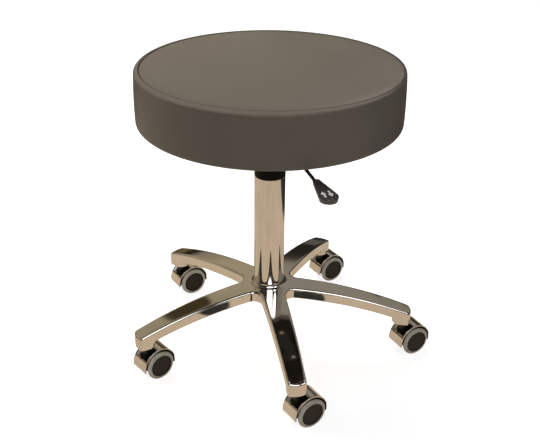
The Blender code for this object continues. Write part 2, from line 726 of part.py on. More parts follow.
# Casters. A hood is built about its axle: X behind the stem, Y up and Z along the axle.
def make_hood_shape():
    half = wheel_face - HOOD_INSET
    shell = arc(0, 0, hood_outer, HOOD_START, HOOD_END, HOOD_STEPS)
    shell += arc(0, 0, hood_inner, HOOD_END, HOOD_START, HOOD_STEPS)
    hood = prism("hood", [shell], -half, half)
    plate = arc(0, 0, hood_inner + HOOD_WALL / 2, HOOD_START, HOOD_END, HOOD_STEPS)
    hood = joined(hood, prism("web", [plate], -WEB_WALL / 2, WEB_WALL / 2))

    opening = arc(0, 0, hood_outer + HOOD_WALL, WINDOW_START, WINDOW_END, 4)
    opening += arc(0, 0, hood_inner - WINDOW_DEPTH, WINDOW_END, WINDOW_START, 4)
    window = half - WINDOW_RIM
    hood = cut(hood, prism("window", [opening], -window, window))

    collar_bottom = boss_bottom - GAP - STEM_COLLAR
    body_top = collar_bottom - STEM_NECK - axle_height
    body_bottom = -STEM_SEAT - STEM_FLOOR
    upright = (-pi / 2, "X")
    body = cylinder("body", body_radius, body_bottom, body_top, ROD_SIDES)
    hood = joined(hood, moved(body, -TRAIL, turn=upright))
    bore = cylinder("bore", stem_bore, -STEM_SEAT, boss_bottom, ROD_SIDES)
    hood = cut(hood, moved(bore, -TRAIL, turn=upright))
    return cut(hood, cylinder("bore", AXLE_RADIUS + GAP, -WEB_WALL, WEB_WALL, ROD_SIDES))


def make_stem_shape():
    foot = axle_height - STEM_SEAT + GAP
    collar_top = boss_bottom - GAP
    collar_bottom = collar_top - STEM_COLLAR
    top = boss_bottom + STEM_GRIP
    stem = [(0, top), (STEM_RADIUS, top), (STEM_RADIUS, collar_top), (STEM_COLLAR_RADIUS, collar_top)]
    stem += [(STEM_COLLAR_RADIUS, collar_bottom), (STEM_RADIUS, collar_bottom)]
    stem += [(STEM_RADIUS, foot), (0, foot)]
    return turned("stem", stem, ROD_SIDES)


def make_core_shape():
    bore = AXLE_RADIUS + SLACK
    core = [(0, wheel_face), (DISC_RADIUS, wheel_face), (DISC_RADIUS, WHEEL_INSET), (bore, WHEEL_INSET)]
    core += [(bore, wheel_face - AXLE_COVER), (0, wheel_face - AXLE_COVER)]
    return turned("core", core, WHEEL_SIDES)


def make_tread_shape():
    inner = DISC_RADIUS + GAP
    middle = (WHEEL_INSET + wheel_face) / 2
    band = TREAD_FLAT / 2
    low = WHEEL_RADIUS - TREAD_SHOULDER
    tread = [(inner, wheel_face), (low, wheel_face), (WHEEL_RADIUS, middle + band)]
    tread += [(WHEEL_RADIUS, middle - band), (low, WHEEL_INSET), (inner, WHEEL_INSET)]
    return turned("tread", tread, WHEEL_SIDES)


def make_casters():
    near = (pi / 2, 0, 0)
    far = (-pi / 2, 0, 0)
    axle = cylinder("axle", AXLE_RADIUS, -axle_half, axle_half, ROD_SIDES)
    shapes = {
        "stem": finished(make_stem_shape(), "stem", black_steel),
        "hood": finished(make_hood_shape(), "hood", chrome),
        "axle": finished(axle, "axle", bright_steel),
        "core": finished(make_core_shape(), "core", wheel_plastic),
        "tread": finished(make_tread_shape(), "tread", grey_tread),
    }
    for i in range(ARM_COUNT):
        turn = ARM_AZIMUTH + i * 2 * pi / ARM_COUNT
        x = CASTER_CIRCLE * cos(turn)
        y = CASTER_CIRCLE * sin(turn)
        name = f"caster_{i + 1}"
        swivel = empty(name + "_swivel", x, y, 0, radians(CASTER_HEADINGS[i]))
        repeated(shapes["stem"], name + "_stem", swivel)
        for piece in ("hood", "axle"):
            repeated(shapes[piece], f"{name}_{piece}", swivel, TRAIL, 0, axle_height, near)
        for piece in ("core", "tread"):
            repeated(shapes[piece], f"{name}_{piece}_a", swivel, TRAIL, 0, axle_height, near)
            repeated(shapes[piece], f"{name}_{piece}_b", swivel, TRAIL, 0, axle_height, far)
    for pattern in shapes.values():
        bpy.data.objects.remove(pattern, do_unlink=True)


base_frame = empty("base_frame", 0, 0, 0, ARM_AZIMUTH)
make_base(base_frame)
make_column(base_frame)
make_gas_lift()
make_plate()
make_lever()
make_seat()
make_casters()
bpy.context.view_layer.update()
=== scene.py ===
import json
from math import atan2, cos, pi, radians, sin, sqrt, tan

import bmesh
import bpy
from mathutils import Matrix, Quaternion, Vector

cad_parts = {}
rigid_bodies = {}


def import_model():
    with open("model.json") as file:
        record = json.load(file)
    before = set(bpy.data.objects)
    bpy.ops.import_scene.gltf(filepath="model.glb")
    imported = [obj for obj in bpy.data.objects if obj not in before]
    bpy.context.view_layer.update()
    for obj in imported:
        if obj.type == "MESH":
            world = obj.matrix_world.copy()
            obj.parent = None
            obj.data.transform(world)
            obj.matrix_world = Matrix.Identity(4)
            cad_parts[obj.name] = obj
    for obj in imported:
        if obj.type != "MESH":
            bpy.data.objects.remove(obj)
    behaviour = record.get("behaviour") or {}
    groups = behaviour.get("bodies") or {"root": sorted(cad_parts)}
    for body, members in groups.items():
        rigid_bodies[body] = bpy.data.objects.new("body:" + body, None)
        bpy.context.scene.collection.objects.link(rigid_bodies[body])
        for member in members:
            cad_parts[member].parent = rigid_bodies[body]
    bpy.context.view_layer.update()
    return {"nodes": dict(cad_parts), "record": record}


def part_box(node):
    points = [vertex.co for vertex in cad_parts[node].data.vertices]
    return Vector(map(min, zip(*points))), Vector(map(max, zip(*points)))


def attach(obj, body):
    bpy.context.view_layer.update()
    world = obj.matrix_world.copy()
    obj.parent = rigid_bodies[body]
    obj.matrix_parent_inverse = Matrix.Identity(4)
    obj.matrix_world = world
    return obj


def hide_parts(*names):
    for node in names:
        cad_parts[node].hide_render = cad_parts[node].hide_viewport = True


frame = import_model()
scene = bpy.context.scene
sharpAngle = radians(38)      # edges that turn more than this stay crisp
mostReach = 0.49      # share of a side that one rounding may take
touch = 0.0001      # gap between faces that rest on each other
snug = 0.0003      # gap round a piece that sits in another
tiny = 1e-6      # lengths below this count as none


# Helpers for shapes
def newPiece(name, points, faces):
    mesh = bpy.data.meshes.new(name)
    mesh.from_pydata(points, [], faces)
    piece = bpy.data.objects.new(name, mesh)
    scene.collection.objects.link(piece)
    return piece


def addPiece(name, points, faces, place=None):
    piece = newPiece(name, points, faces)
    if place:
        piece.matrix_world = place
    return tidyMesh(piece)


def smoothMesh(piece):
    piece.data.shade_smooth()
    piece.data.set_sharp_from_angle(angle=sharpAngle)
    return piece


def tidyMesh(piece):
    shape = bmesh.new()
    shape.from_mesh(piece.data)
    bmesh.ops.remove_doubles(shape, verts=shape.verts, dist=tiny)
    bmesh.ops.recalc_face_normals(shape, faces=shape.faces)
    shape.to_mesh(piece.data)
    shape.free()
    return smoothMesh(piece)


def settlePiece(piece):
    # Turns the modifiers into plain mesh.
    graph = bpy.context.evaluated_depsgraph_get()
    mesh = bpy.data.meshes.new_from_object(piece.evaluated_get(graph))
    piece.modifiers.clear()
    piece.data = mesh
    return piece


def mergePieces(name, pieces):
    # One object from several closed shapes.
    bpy.context.view_layer.update()
    points, faces = [], []
    for piece in pieces:
        start = len(points)
        points += [piece.matrix_world @ v.co for v in piece.data.vertices]
        faces += [[start + i for i in face.vertices] for face in piece.data.polygons]
        bpy.data.objects.remove(piece, do_unlink=True)
    return smoothMesh(newPiece(name, points, faces))


def copyPiece(name, pattern, place):
    piece = bpy.data.objects.new(name, pattern.data)
    scene.collection.objects.link(piece)
    piece.matrix_world = place
    return piece


def bevelEdges(piece, width, limit):
    edges = piece.modifiers.new("edges", "BEVEL")
    edges.width = width
    edges.segments = 2
    edges.limit_method = "ANGLE"
    edges.angle_limit = limit
    return tidyMesh(settlePiece(piece))


def ringFaces(rings):
    # Quads between neighbouring rings of point numbers. Repeated numbers make triangles at the axis.
    faces = []
    for near, far in rings:
        count = len(near)
        for i in range(count):
            j = (i + 1) % count
            face = list(dict.fromkeys((near[i], near[j], far[j], far[i])))
            if len(face) > 2:
                faces.append(face)
    return faces


def loftPiece(name, loops, place=None, capped=True):
    # Skin over loops that all have the same count of points.
    count = len(loops[0])
    points = [point for loop in loops for point in loop]
    rings = [list(range(i * count, (i + 1) * count)) for i in range(len(loops))]
    caps = [rings[0], rings[-1]] if capped else []
    return addPiece(name, points, ringFaces(zip(rings, rings[1:])) + caps, place)


def turnedPiece(name, profile, sides=96, place=None):
    # A closed profile of (radius, height) points, turned about Z.
    points, rings = [], []
    for radius, height in profile:
        start = len(points)
        if radius < tiny:
            rings.append([start] * sides)
            points.append((0, 0, height))
        else:
            rings.append(list(range(start, start + sides)))
            turns = [2 * pi * i / sides for i in range(sides)]
            points += [(radius * cos(a), radius * sin(a), height) for a in turns]
    return addPiece(name, points, ringFaces(zip(rings, rings[1:] + rings[:1])), place)


def roundedProfile(corners, steps=5):
    # Corners are (radius, height, rounding).
    profile = []
    for i, (x, y, rounding) in enumerate(corners):
        here = Vector((x, y))
        if not rounding:
            profile.append((x, y))
            continue
        before = Vector(corners[i - 1][:2]) - here
        after = Vector(corners[(i + 1) % len(corners)][:2]) - here
        half = before.angle(after) / 2
        reach = min(rounding / tan(half), mostReach * before.length, mostReach * after.length)
        rounding = reach * tan(half)
        before.normalize()
        after.normalize()
        centre = here + (before + after).normalized() * rounding / sin(half)
        first = here + before * reach - centre
        last = here + after * reach - centre
        start = atan2(first.y, first.x)
        sweep = atan2(last.y, last.x) - start
        sweep -= 2 * pi * round(sweep / (2 * pi))
        profile += arcPoints(centre.x, centre.y, rounding, start, start + sweep, steps)
    return profile


def arcPoints(x, y, radius, start, end, steps):
    turns = [start + (end - start) * i / steps for i in range(steps + 1)]
    return [(x + radius * cos(a), y + radius * sin(a)) for a in turns]


def boxMiddle(node):
    low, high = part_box(node)
    return (low + high) / 2


def nodeHeights(node):
    low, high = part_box(node)
    return low.z, high.z


# Helpers for finishes
cloudTone = (0.32, 0.68)      # stretch of a cloud pattern from its dark to its light tone
cloudGloss = (0.3, 0.7)      # stretch of it from its glossy to its dull end
usual = {"detail": 4.0, "grainDetail": 3.0, "bump": 0.6, "metal": 0.0, "shine": 0.5}


def addNode(tree, kind, inputs=None, **settings):
    made = tree.nodes.new("ShaderNode" + kind)
    for key, value in settings.items():
        setattr(made, key, value)
    for key, value in (inputs or {}).items():
        if isinstance(value, bpy.types.NodeSocket):
            tree.links.new(value, made.inputs[key])
        else:
            made.inputs[key].default_value = value
    return made


def combine(tree, kind, operation, first, second):
    return addNode(tree, kind, {0: first, 1: second}, operation=operation).outputs["Value"]


def mapRange(tree, value, low, high, start=0.0, end=1.0):
    inputs = {"Value": value, "From Min": low, "From Max": high, "To Min": start, "To Max": end}
    return addNode(tree, "MapRange", inputs).outputs["Result"]


def blend(tree, share, low, high):
    mixed = addNode(tree, "Mix", {0: share, 6: low, 7: high}, data_type="RGBA")
    return mixed.outputs[2]


def bandTones(tree, value, stops):
    # Stops are (position, tone).
    tones = addNode(tree, "ValToRGB", {"Fac": value})
    bands = tones.color_ramp
    while len(bands.elements) < len(stops):
        bands.elements.new(0.5)
    for band, (position, tone) in zip(bands.elements, stops):
        band.position = position
        band.color = (*tone, 1)
    return tones.outputs["Color"]


def startFinish(name):
    finish = bpy.data.materials.new(name)
    finish.use_nodes = True
    tree = finish.node_tree
    tree.nodes.clear()
    return finish, tree, addNode(tree, "TexCoord").outputs["Object"]


def endFinish(finish, tree, inputs):
    shader = addNode(tree, "BsdfPrincipled", inputs)
    addNode(tree, "OutputMaterial", {"Surface": shader.outputs["BSDF"]})
    return finish


def cloudTones(tree, vector, look):
    inputs = {"Vector": vector, "Scale": look["cloud"], "Detail": look.get("detail", usual["detail"])}
    cloud = addNode(tree, "TexNoise", inputs).outputs["Fac"]
    return cloud, bandTones(tree, cloud, list(zip(cloudTone, (look["dark"], look["light"]))))


def glossOf(tree, cloud, look):
    return mapRange(tree, cloud, *cloudGloss, *look["rough"])


def addBump(tree, height, look, **settings):
    inputs = {"Height": height, "Strength": look.get("bump", usual["bump"]), "Distance": look["depth"]}
    return addNode(tree, "Bump", inputs, **settings).outputs["Normal"]


def plainFinish(name, look):
    # Mottled tone and gloss, with an optional fine grain.
    finish, tree, place = startFinish(name)
    cloud, tone = cloudTones(tree, place, look)
    inputs = {"Base Color": tone, "Roughness": glossOf(tree, cloud, look)}
    inputs["Metallic"] = look.get("metal", usual["metal"])
    inputs["Specular IOR Level"] = look.get("shine", usual["shine"])
    if "grain" in look:
        pattern = {"Vector": place, "Scale": look["grain"], "Detail": usual["grainDetail"]}
        grain = addNode(tree, "TexNoise", pattern).outputs["Fac"]
        inputs["Normal"] = addBump(tree, grain, look)
    return endFinish(finish, tree, inputs)


def vinylFinish(name, look):
    # Soft cover with a fine pebbled grain.
    finish, tree, place = startFinish(name)
    cloud, tone = cloudTones(tree, place, look)
    cells = addNode(tree, "TexVoronoi", {"Vector": place, "Scale": look["grain"]}, feature="SMOOTH_F1")
    normal = addBump(tree, cells.outputs["Distance"], look, invert=True)
    return endFinish(finish, tree, {"Base Color": tone, "Roughness": glossOf(tree, cloud, look),
                                    "Normal": normal, "Specular IOR Level": look["shine"]})


def wovenFinish(name, look):
    # Threads that cross at right angles.
    finish, tree, place = startFinish(name)
    waves = [addNode(tree, "TexWave", {"Vector": place, "Scale": look["weave"]}, bands_direction=way)
             for way in "XY"]
    warp, weft = (wave.outputs["Fac"] for wave in waves)
    threads = combine(tree, "Math", "MULTIPLY", warp, weft)
    tone = bandTones(tree, threads, [(0.0, look["dark"]), (1.0, look["light"])])
    return endFinish(finish, tree, {"Base Color": tone, "Roughness": glossOf(tree, threads, look),
                                    "Normal": addBump(tree, threads, look)})


def woodFinish(name, look):
    # Long grain across the board.
    finish, tree, place = startFinish(name)
    stretched = addNode(tree, "Mapping", {"Vector": place, "Scale": look["stretch"]}).outputs["Vector"]
    cloud, tone = cloudTones(tree, stretched, look)
    return endFinish(finish, tree, {"Base Color": tone, "Roughness": glossOf(tree, cloud, look),
                                    "Normal": addBump(tree, cloud, look)})


looks = {
    "taupe_vinyl": {"dark": (0.148, 0.127, 0.101), "light": (0.166, 0.143, 0.114), "cloud": 7.0,
                    "rough": (0.33, 0.40), "grain": 900.0, "depth": 0.00008, "bump": 0.5, "shine": 0.22},
    "seam_thread": {"dark": (0.055, 0.048, 0.040), "light": (0.080, 0.070, 0.058), "cloud": 400.0,
                    "rough": (0.6, 0.75)},
    "black_cloth": {"dark": (0.003, 0.003, 0.003), "light": (0.009, 0.009, 0.009), "weave": 220.0,
                    "rough": (0.85, 0.97), "depth": 0.0002, "bump": 0.5},
    "plywood": {"dark": (0.44, 0.29, 0.15), "light": (0.58, 0.41, 0.24), "cloud": 9.0, "detail": 6.0,
                "stretch": (1.0, 12.0, 30.0), "rough": (0.65, 0.8), "depth": 0.0002, "bump": 0.4},
    "chrome": {"dark": (0.76, 0.745, 0.72), "light": (0.82, 0.80, 0.775), "cloud": 25.0,
               "rough": (0.04, 0.085), "metal": 1.0},
    "bright_steel": {"dark": (0.50, 0.50, 0.51), "light": (0.60, 0.60, 0.61), "cloud": 180.0,
                     "rough": (0.22, 0.36), "metal": 1.0},
    "black_steel": {"dark": (0.010, 0.010, 0.010), "light": (0.018, 0.018, 0.018), "cloud": 90.0,
                    "rough": (0.38, 0.52), "grain": 1400.0, "depth": 0.00003},
    "black_plastic": {"dark": (0.004, 0.004, 0.004), "light": (0.008, 0.008, 0.008), "cloud": 70.0,
                      "rough": (0.34, 0.46), "grain": 1600.0, "depth": 0.00003, "shine": 0.08},
    "paddle_plastic": {"dark": (0.042, 0.042, 0.040), "light": (0.060, 0.060, 0.057), "cloud": 90.0,
                       "rough": (0.24, 0.34), "grain": 1600.0, "depth": 0.00003, "shine": 0.9},
    "white_print": {"dark": (0.90, 0.90, 0.89), "light": (0.96, 0.96, 0.95), "cloud": 300.0,
                    "rough": (0.55, 0.70)},
    "wheel_plastic": {"dark": (0.018, 0.0155, 0.0125), "light": (0.025, 0.0215, 0.0175), "cloud": 120.0,
                      "rough": (0.45, 0.58), "grain": 1500.0, "depth": 0.00003, "shine": 0.3},
    "grey_tread": {"dark": (0.57, 0.53, 0.44), "light": (0.67, 0.62, 0.515), "cloud": 140.0,
                   "rough": (0.26, 0.36), "grain": 1300.0, "depth": 0.00003},
    "rubber": {"dark": (0.016, 0.016, 0.016), "light": (0.026, 0.026, 0.026), "cloud": 120.0,
               "rough": (0.75, 0.88)},
    "brass": {"dark": (0.56, 0.39, 0.15), "light": (0.64, 0.45, 0.19), "cloud": 160.0,
              "rough": (0.28, 0.42), "metal": 1.0},
}
ownFinish = {"taupe_vinyl": vinylFinish, "black_cloth": wovenFinish, "plywood": woodFinish}
finishes = {name: ownFinish.get(name, plainFinish)(name, look) for name, look in looks.items()}
print("finishes ready:", len(finishes))


def fitPiece(piece, body, slot, nodes=(), finish=None):
    # Puts a finished piece on its body, in place of its CAD nodes.
    piece.data.materials.clear()
    piece.data.materials.append(finishes[finish or slot])
    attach(piece, body)
    if nodes:
        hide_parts(*nodes)
    return piece


# Seat. The groove's points are shares of the seam's width and depth.
seat = {"radius": 0.2062, "oval": 0.978, "shift": (-0.0014, 0.0), "flare": 0.0006, "bulge": 0.0008,
        "crown": 0.0006, "edgeDrop": 0.0020, "edgeStart": 0.93, "rollDrop": 0.0046, "welt": 0.0007,
        "seam": (0.2008, 0.1890), "seamShift": (0.0026, 0.0), "seamWidth": 0.0028, "seamDepth": 0.0025,
        "groove": [(-0.25, 0.55), (0.0, 1.0), (0.25, 0.4)], "cover": 0.002,
        "footRound": 0.0053, "footLift": 0.0012, "footWall": 0.0019, "flap": 0.0288, "flapBend": 0.006,
        "bendBack": 0.001, "bendOut": 0.003, "bendRise": 0.0031,
        "pressure": 4.0, "stretch": 60, "stiffness": 4, "frames": 20, "mostBulge": 0.0012, "fill": 0.95,
        "cells": 64, "rollSteps": 12, "weltSteps": 3, "sideSteps": 15, "footSteps": 7, "sewnFoot": 13}
seatLow, seatHigh = nodeHeights("seat_cover")
boardLow, boardHigh = nodeHeights("seat_board")
seatEdge = seatHigh - seat["crown"] - seat["edgeDrop"]
footRadius = seat["radius"] + seat["flare"]
seamShift = Vector((*seat["seamShift"], 0))
seatPlace = Matrix.Translation((*seat["shift"], 0)) @ Matrix.Diagonal((1, seat["oval"], 1, 1))


def discPoint(a, b):
    # Maps a square of side 2 to a disc, so that the cloth's mesh is even.
    if a == 0 and b == 0:
        return 0, 0
    if abs(a) >= abs(b):
        turn = pi / 4 * b / a
        return a * cos(turn), a * sin(turn)
    turn = pi / 2 - pi / 4 * a / b
    return b * cos(turn), b * sin(turn)


def seamPoint(turn, offset=0):
    wide, deep = (half + offset for half in seat["seam"])
    return Vector((wide * cos(turn), deep * sin(turn) / seat["oval"], 0)) + seamShift


def seatPanel():
    # The top inside the seam, as points, faces and the numbers of the points along its rim.
    cells = seat["cells"]
    wide, deep = (half - 0.5 * seat["seamWidth"] for half in seat["seam"])
    points, number = [], {}
    for i in range(cells + 1):
        for j in range(cells + 1):
            x, y = discPoint(2 * i / cells - 1, 2 * j / cells - 1)
            number[i, j] = len(points)
            out = sqrt(x * x + y * y)
            edge = max(0, out - seat["edgeStart"]) / (1 - seat["edgeStart"])
            height = seatEdge + seat["crown"] * (1 - out ** 2) + seat["edgeDrop"] * (1 - edge ** 2)
            points.append(Vector((wide * x, deep * y / seat["oval"], height)) + seamShift)
    faces = [[number[i, j], number[i + 1, j], number[i + 1, j + 1], number[i, j + 1]]
             for i in range(cells) for j in range(cells)]
    rim = [number[cells, j] for j in range(cells)]
    rim += [number[cells - i, cells] for i in range(cells)]
    rim += [number[0, cells - j] for j in range(cells)]
    rim += [number[i, 0] for i in range(cells)]
    return points, faces, rim


def seatProfile():
    # Rings from the seam down the side to the board's pocket, each as its offset from the seam, its
    # radius, its height and the seam's share.
    width, depth, welt = seat["seamWidth"], seat["seamDepth"], seat["welt"]
    rings = [(across * width, 0, seatEdge - down * depth, 1) for across, down in seat["groove"]]
    rings.append((0.5 * width, 0, seatEdge + welt, 1))
    top = seatEdge - seat["rollDrop"]
    for i in range(1, seat["rollSteps"] + 1):
        turn = pi / 2 * i / seat["rollSteps"]
        lift = welt * max(0, 1 - i / seat["weltSteps"])
        rings.append((0.5 * width, seat["radius"], top + seat["rollDrop"] * cos(turn) + lift, 1 - sin(turn)))
    foot = seatLow + seat["footLift"]
    low = foot + seat["footRound"]
    for i in range(1, seat["sideSteps"]):
        share = i / seat["sideSteps"]
        radius = seat["radius"] + seat["flare"] * share + 4 * seat["bulge"] * share * (1 - share)
        rings.append((0, radius, top + (low - top) * share, 0))
    centre = footRadius - seat["footRound"]
    inside = arcPoints(centre, low, seat["footRound"], 0, -pi / 2, seat["footSteps"])
    bend = centre - seat["flapBend"]      # the flap lies flat inside this radius
    flapEnd, flapTop = centre - seat["flap"], seatLow + seat["cover"]
    inside += [(bend, seatLow), (flapEnd, seatLow), (flapEnd, flapTop), (bend - seat["bendBack"], flapTop)]
    inside += [(bend + seat["bendOut"], seatLow + seat["bendRise"]), (centre, foot + seat["footWall"])]
    pocket = footRadius - seat["cover"] - touch
    inside += [(pocket, low), (pocket, boardHigh + touch), (0, boardHigh + touch)]
    return rings + [(0, radius, height, 0) for radius, height in inside]


def makeSeat():
    points, faces, rim = seatPanel()
    turns = [-pi / 4 + 2 * pi * k / len(rim) for k in range(len(rim))]
    rings = [rim]
    for offset, radius, height, share in seatProfile():
        start = len(points)
        if radius or share:
            rings.append(list(range(start, start + len(rim))))
            for a in turns:
                side = Vector((radius * cos(a), radius * sin(a), 0))
                points.append(side.lerp(seamPoint(a, offset), share) + Vector((0, 0, height)))
        else:
            rings.append([start] * len(rim))
            points.append(Vector((0, 0, height)))
    faces += ringFaces(zip(rings, rings[1:]))
    cushion = addPiece("seatCushion", [seatPlace @ p for p in points], faces)
    seamRows = len(seat["groove"]) + 2      # the rim, the groove and the welt stay where they are sewn
    stuffCushion(cushion, sum(rings[:seamRows] + rings[-seat["sewnFoot"]:], []))
    smooth = cushion.modifiers.new("smooth", "SUBSURF")
    smooth.levels = 1
    smooth.render_levels = 1
    cushion.data.shade_smooth()
    return fitPiece(cushion, "seat", "taupe_vinyl", ["seat_cover", "seat_foam"])


def stuffCushion(cushion, sewn):
    # The foam pushes the cover out between the seam and the foot.
    before = [v.co.copy() for v in cushion.data.vertices]
    cushion.vertex_groups.new(name="sewn").add(sewn, 1.0, "REPLACE")
    stuffing = cushion.modifiers.new("stuffing", "CLOTH")
    cloth = stuffing.settings
    cloth.use_pressure = True
    cloth.uniform_pressure_force = seat["pressure"]
    cloth.vertex_group_mass = "sewn"
    cloth.effector_weights.gravity = 0
    cloth.tension_stiffness = seat["stretch"]
    cloth.compression_stiffness = seat["stretch"]
    cloth.bending_stiffness = seat["stiffness"]
    stuffing.point_cache.frame_start = 1
    stuffing.point_cache.frame_end = seat["frames"]
    for step in range(1, seat["frames"] + 1):
        scene.frame_set(step)
    settlePiece(cushion)
    scene.frame_set(1)
    moves = [v.co - old for v, old in zip(cushion.data.vertices, before)]
    most = max(move.length for move in moves)
    share = min(1, seat["mostBulge"] / most)
    for v, old, move in zip(cushion.data.vertices, before, moves):
        v.co = old + share * move
    cushion.vertex_groups.clear()
    print("cover bulged by mm:", round(1000 * most, 2), "kept share:", round(share, 2))


stitch = {"pitch": 0.0052, "half": 0.0018, "shoulder": 0.0014, "thread": 0.00045, "round": 0.0003,
          "lean": radians(96), "sink": 0.5}


def makeStitches():
    # Short thread loops along the seam, sunk by a share of its depth.
    count = round(pi * sum(seat["seam"]) / stitch["pitch"])
    height = seatEdge - stitch["sink"] * seat["seamDepth"]
    half, shoulder, thread, edge = (stitch[key] for key in ("half", "shoulder", "thread", "round"))
    corners = [(0, -half, 0), (thread, -shoulder, edge), (thread, shoulder, edge), (0, half, 0)]
    made = []
    for i in range(count):
        turn = 2 * pi * i / count
        spot = seatPlace @ (seamPoint(turn) + Vector((0, 0, height)))
        lie = Matrix.Rotation(turn, 4, "Z") @ Matrix.Rotation(stitch["lean"], 4, "X")
        made.append(turnedPiece("stitch", roundedProfile(corners, 2), 6, Matrix.Translation(spot) @ lie))
    return fitPiece(mergePieces("seamStitches", made), "seat", "taupe_vinyl", finish="seam_thread")


board = {"lowRound": 0.011, "topRound": 0.0005}


def makeBoard():
    low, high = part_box("seat_board")
    radius = (high.x - low.x) / 2
    corners = [(0, boardLow, 0), (radius, boardLow, board["lowRound"])]
    corners += [(radius, boardHigh, board["topRound"]), (0, boardHigh, 0)]
    piece = turnedPiece("seatBoard", roundedProfile(corners, 8))
    piece.data.transform(seatPlace)
    return fitPiece(piece, "seat", "plywood", ["seat_board"])


dustCover = {"radius": 0.1685, "thickness": 0.0006, "sag": 0.0006, "rings": 24}


def makeDustCover():
    radii = [dustCover["radius"] * (1 - i / dustCover["rings"]) for i in range(dustCover["rings"] + 1)]
    top = nodeHeights("seat_dust_cover")[1] - touch
    upper = [(r, top - dustCover["sag"] * sin(pi * r / dustCover["radius"])) for r in radii]
    lower = [(r, z - dustCover["thickness"]) for r, z in reversed(upper)]
    cover = turnedPiece("dustCover", upper + lower, 96)
    return fitPiece(cover, "seat", "black_cloth", ["seat_dust_cover"])


staples = {"count": 40, "radius": 0.1762, "span": 0.010, "wire": 0.0005, "round": 0.0002}


def makeStaples():
    half, wire, edge = staples["span"] / 2, staples["wire"], staples["round"]
    corners = [(0, -half, 0), (wire, -half, edge), (wire, half, edge), (0, half, 0)]
    made = []
    for i in range(staples["count"]):
        place = Matrix.Rotation(2 * pi * (i + 0.5) / staples["count"], 4, "Z")
        place = place @ Matrix.Translation((staples["radius"], 0, seatLow - touch))
        place = place @ Matrix.Rotation(pi / 2, 4, "X")
        made.append(turnedPiece("staple", roundedProfile(corners, 2), 8, place))
    return fitPiece(mergePieces("flapStaples", made), "seat", "bright_steel")


makeSeat()
makeStitches()
makeBoard()
makeDustCover()
makeStaples()
print("seat ready")

# Column
columnTube = {"radius": 0.025, "foot": 0.024, "taperTop": 0.12790, "wall": 0.002, "floor": 0.005,
              "rodHole": 0.0053, "topRound": 0.0006, "footRound": 0.001}
guideBush = {"radius": 0.0252, "sleeve": 0.0227, "bore": 0.0143, "topRound": 0.0012, "lowRound": 0.0003,
             "boreRound": 0.0008}
gasCylinder = {"radius": 0.014, "neck": 0.013, "wall": 0.0015, "cap": 0.042, "pinHole": 0.0043,
               "topRound": 0.0005, "lowRound": 0.0008, "holeRound": 0.0003}
taperSocket = {"outer": 0.0193, "flange": 0.0233, "flangeDepth": 0.004, "neckGap": 0.0006,
               "topRound": 0.0004, "flangeRound": 0.0005, "stepRound": 0.0008, "lowRound": 0.001}
tubeLow, tubeTop = nodeHeights("column_tube")


def makeTube():
    radius, foot, wall = columnTube["radius"], columnTube["foot"], columnTube["wall"]
    hole, taperTop = columnTube["rodHole"], columnTube["taperTop"]
    floor = tubeLow + columnTube["floor"]
    corners = [(radius, tubeTop, columnTube["topRound"]), (radius, taperTop, 0)]
    corners += [(foot, tubeLow, columnTube["footRound"]), (hole, tubeLow, 0), (hole, floor, 0)]
    corners += [(foot - wall, floor, 0), (radius - wall, taperTop, 0), (radius - wall, tubeTop, 0)]
    tube = turnedPiece("columnTube", roundedProfile(corners), 128)
    return fitPiece(tube, "base", "chrome", ["column_tube"])


def makeBush():
    low, high = nodeHeights("guide_bush")
    collar, sleeve, bore = guideBush["radius"], guideBush["sleeve"], guideBush["bore"]
    rest = tubeTop + snug
    corners = [(collar, high, guideBush["topRound"]), (collar, rest, guideBush["lowRound"])]
    corners += [(sleeve, rest, 0), (sleeve, low, 0), (bore, low, 0), (bore, high, guideBush["boreRound"])]
    bush = turnedPiece("guideBush", roundedProfile(corners), 128)
    return fitPiece(bush, "base", "black_plastic", ["guide_bush"])


def makeCylinder():
    low, high = nodeHeights("gas_cylinder")
    radius, hole = gasCylinder["radius"], gasCylinder["pinHole"]
    inner, capLow = radius - gasCylinder["wall"], high - gasCylinder["cap"]
    taperStart = nodeHeights("taper_socket")[0]
    corners = [(gasCylinder["neck"], high, gasCylinder["topRound"]), (radius, taperStart, 0)]
    corners += [(radius, low, gasCylinder["lowRound"]), (inner, low, 0), (inner, capLow, 0)]
    corners += [(hole, capLow, 0), (hole, high, gasCylinder["holeRound"])]
    cylinder = turnedPiece("gasCylinder", roundedProfile(corners), 96)
    return fitPiece(cylinder, "seat", "black_steel", ["gas_cylinder"])


def makeSocket():
    low, high = nodeHeights("taper_socket")
    outer, flange, step = taperSocket["outer"], taperSocket["flange"], taperSocket["stepRound"]
    flangeTop = nodeHeights("seat_plate")[0] - snug
    flangeLow = flangeTop - taperSocket["flangeDepth"]
    corners = [(outer, high, taperSocket["topRound"]), (outer, flangeTop, 0)]
    corners += [(flange, flangeTop, taperSocket["flangeRound"]), (flange, flangeLow, step)]
    corners += [(outer, flangeLow, step), (outer, low, taperSocket["lowRound"])]
    corners += [(gasCylinder["radius"] + snug, low, taperSocket["topRound"])]
    corners += [(gasCylinder["neck"] + taperSocket["neckGap"], high, 0)]
    socket = turnedPiece("taperSocket", roundedProfile(corners), 96)
    return fitPiece(socket, "seat", "black_steel", ["taper_socket"])


makeTube()
makeBush()
makeCylinder()
makeSocket()
print("column ready")

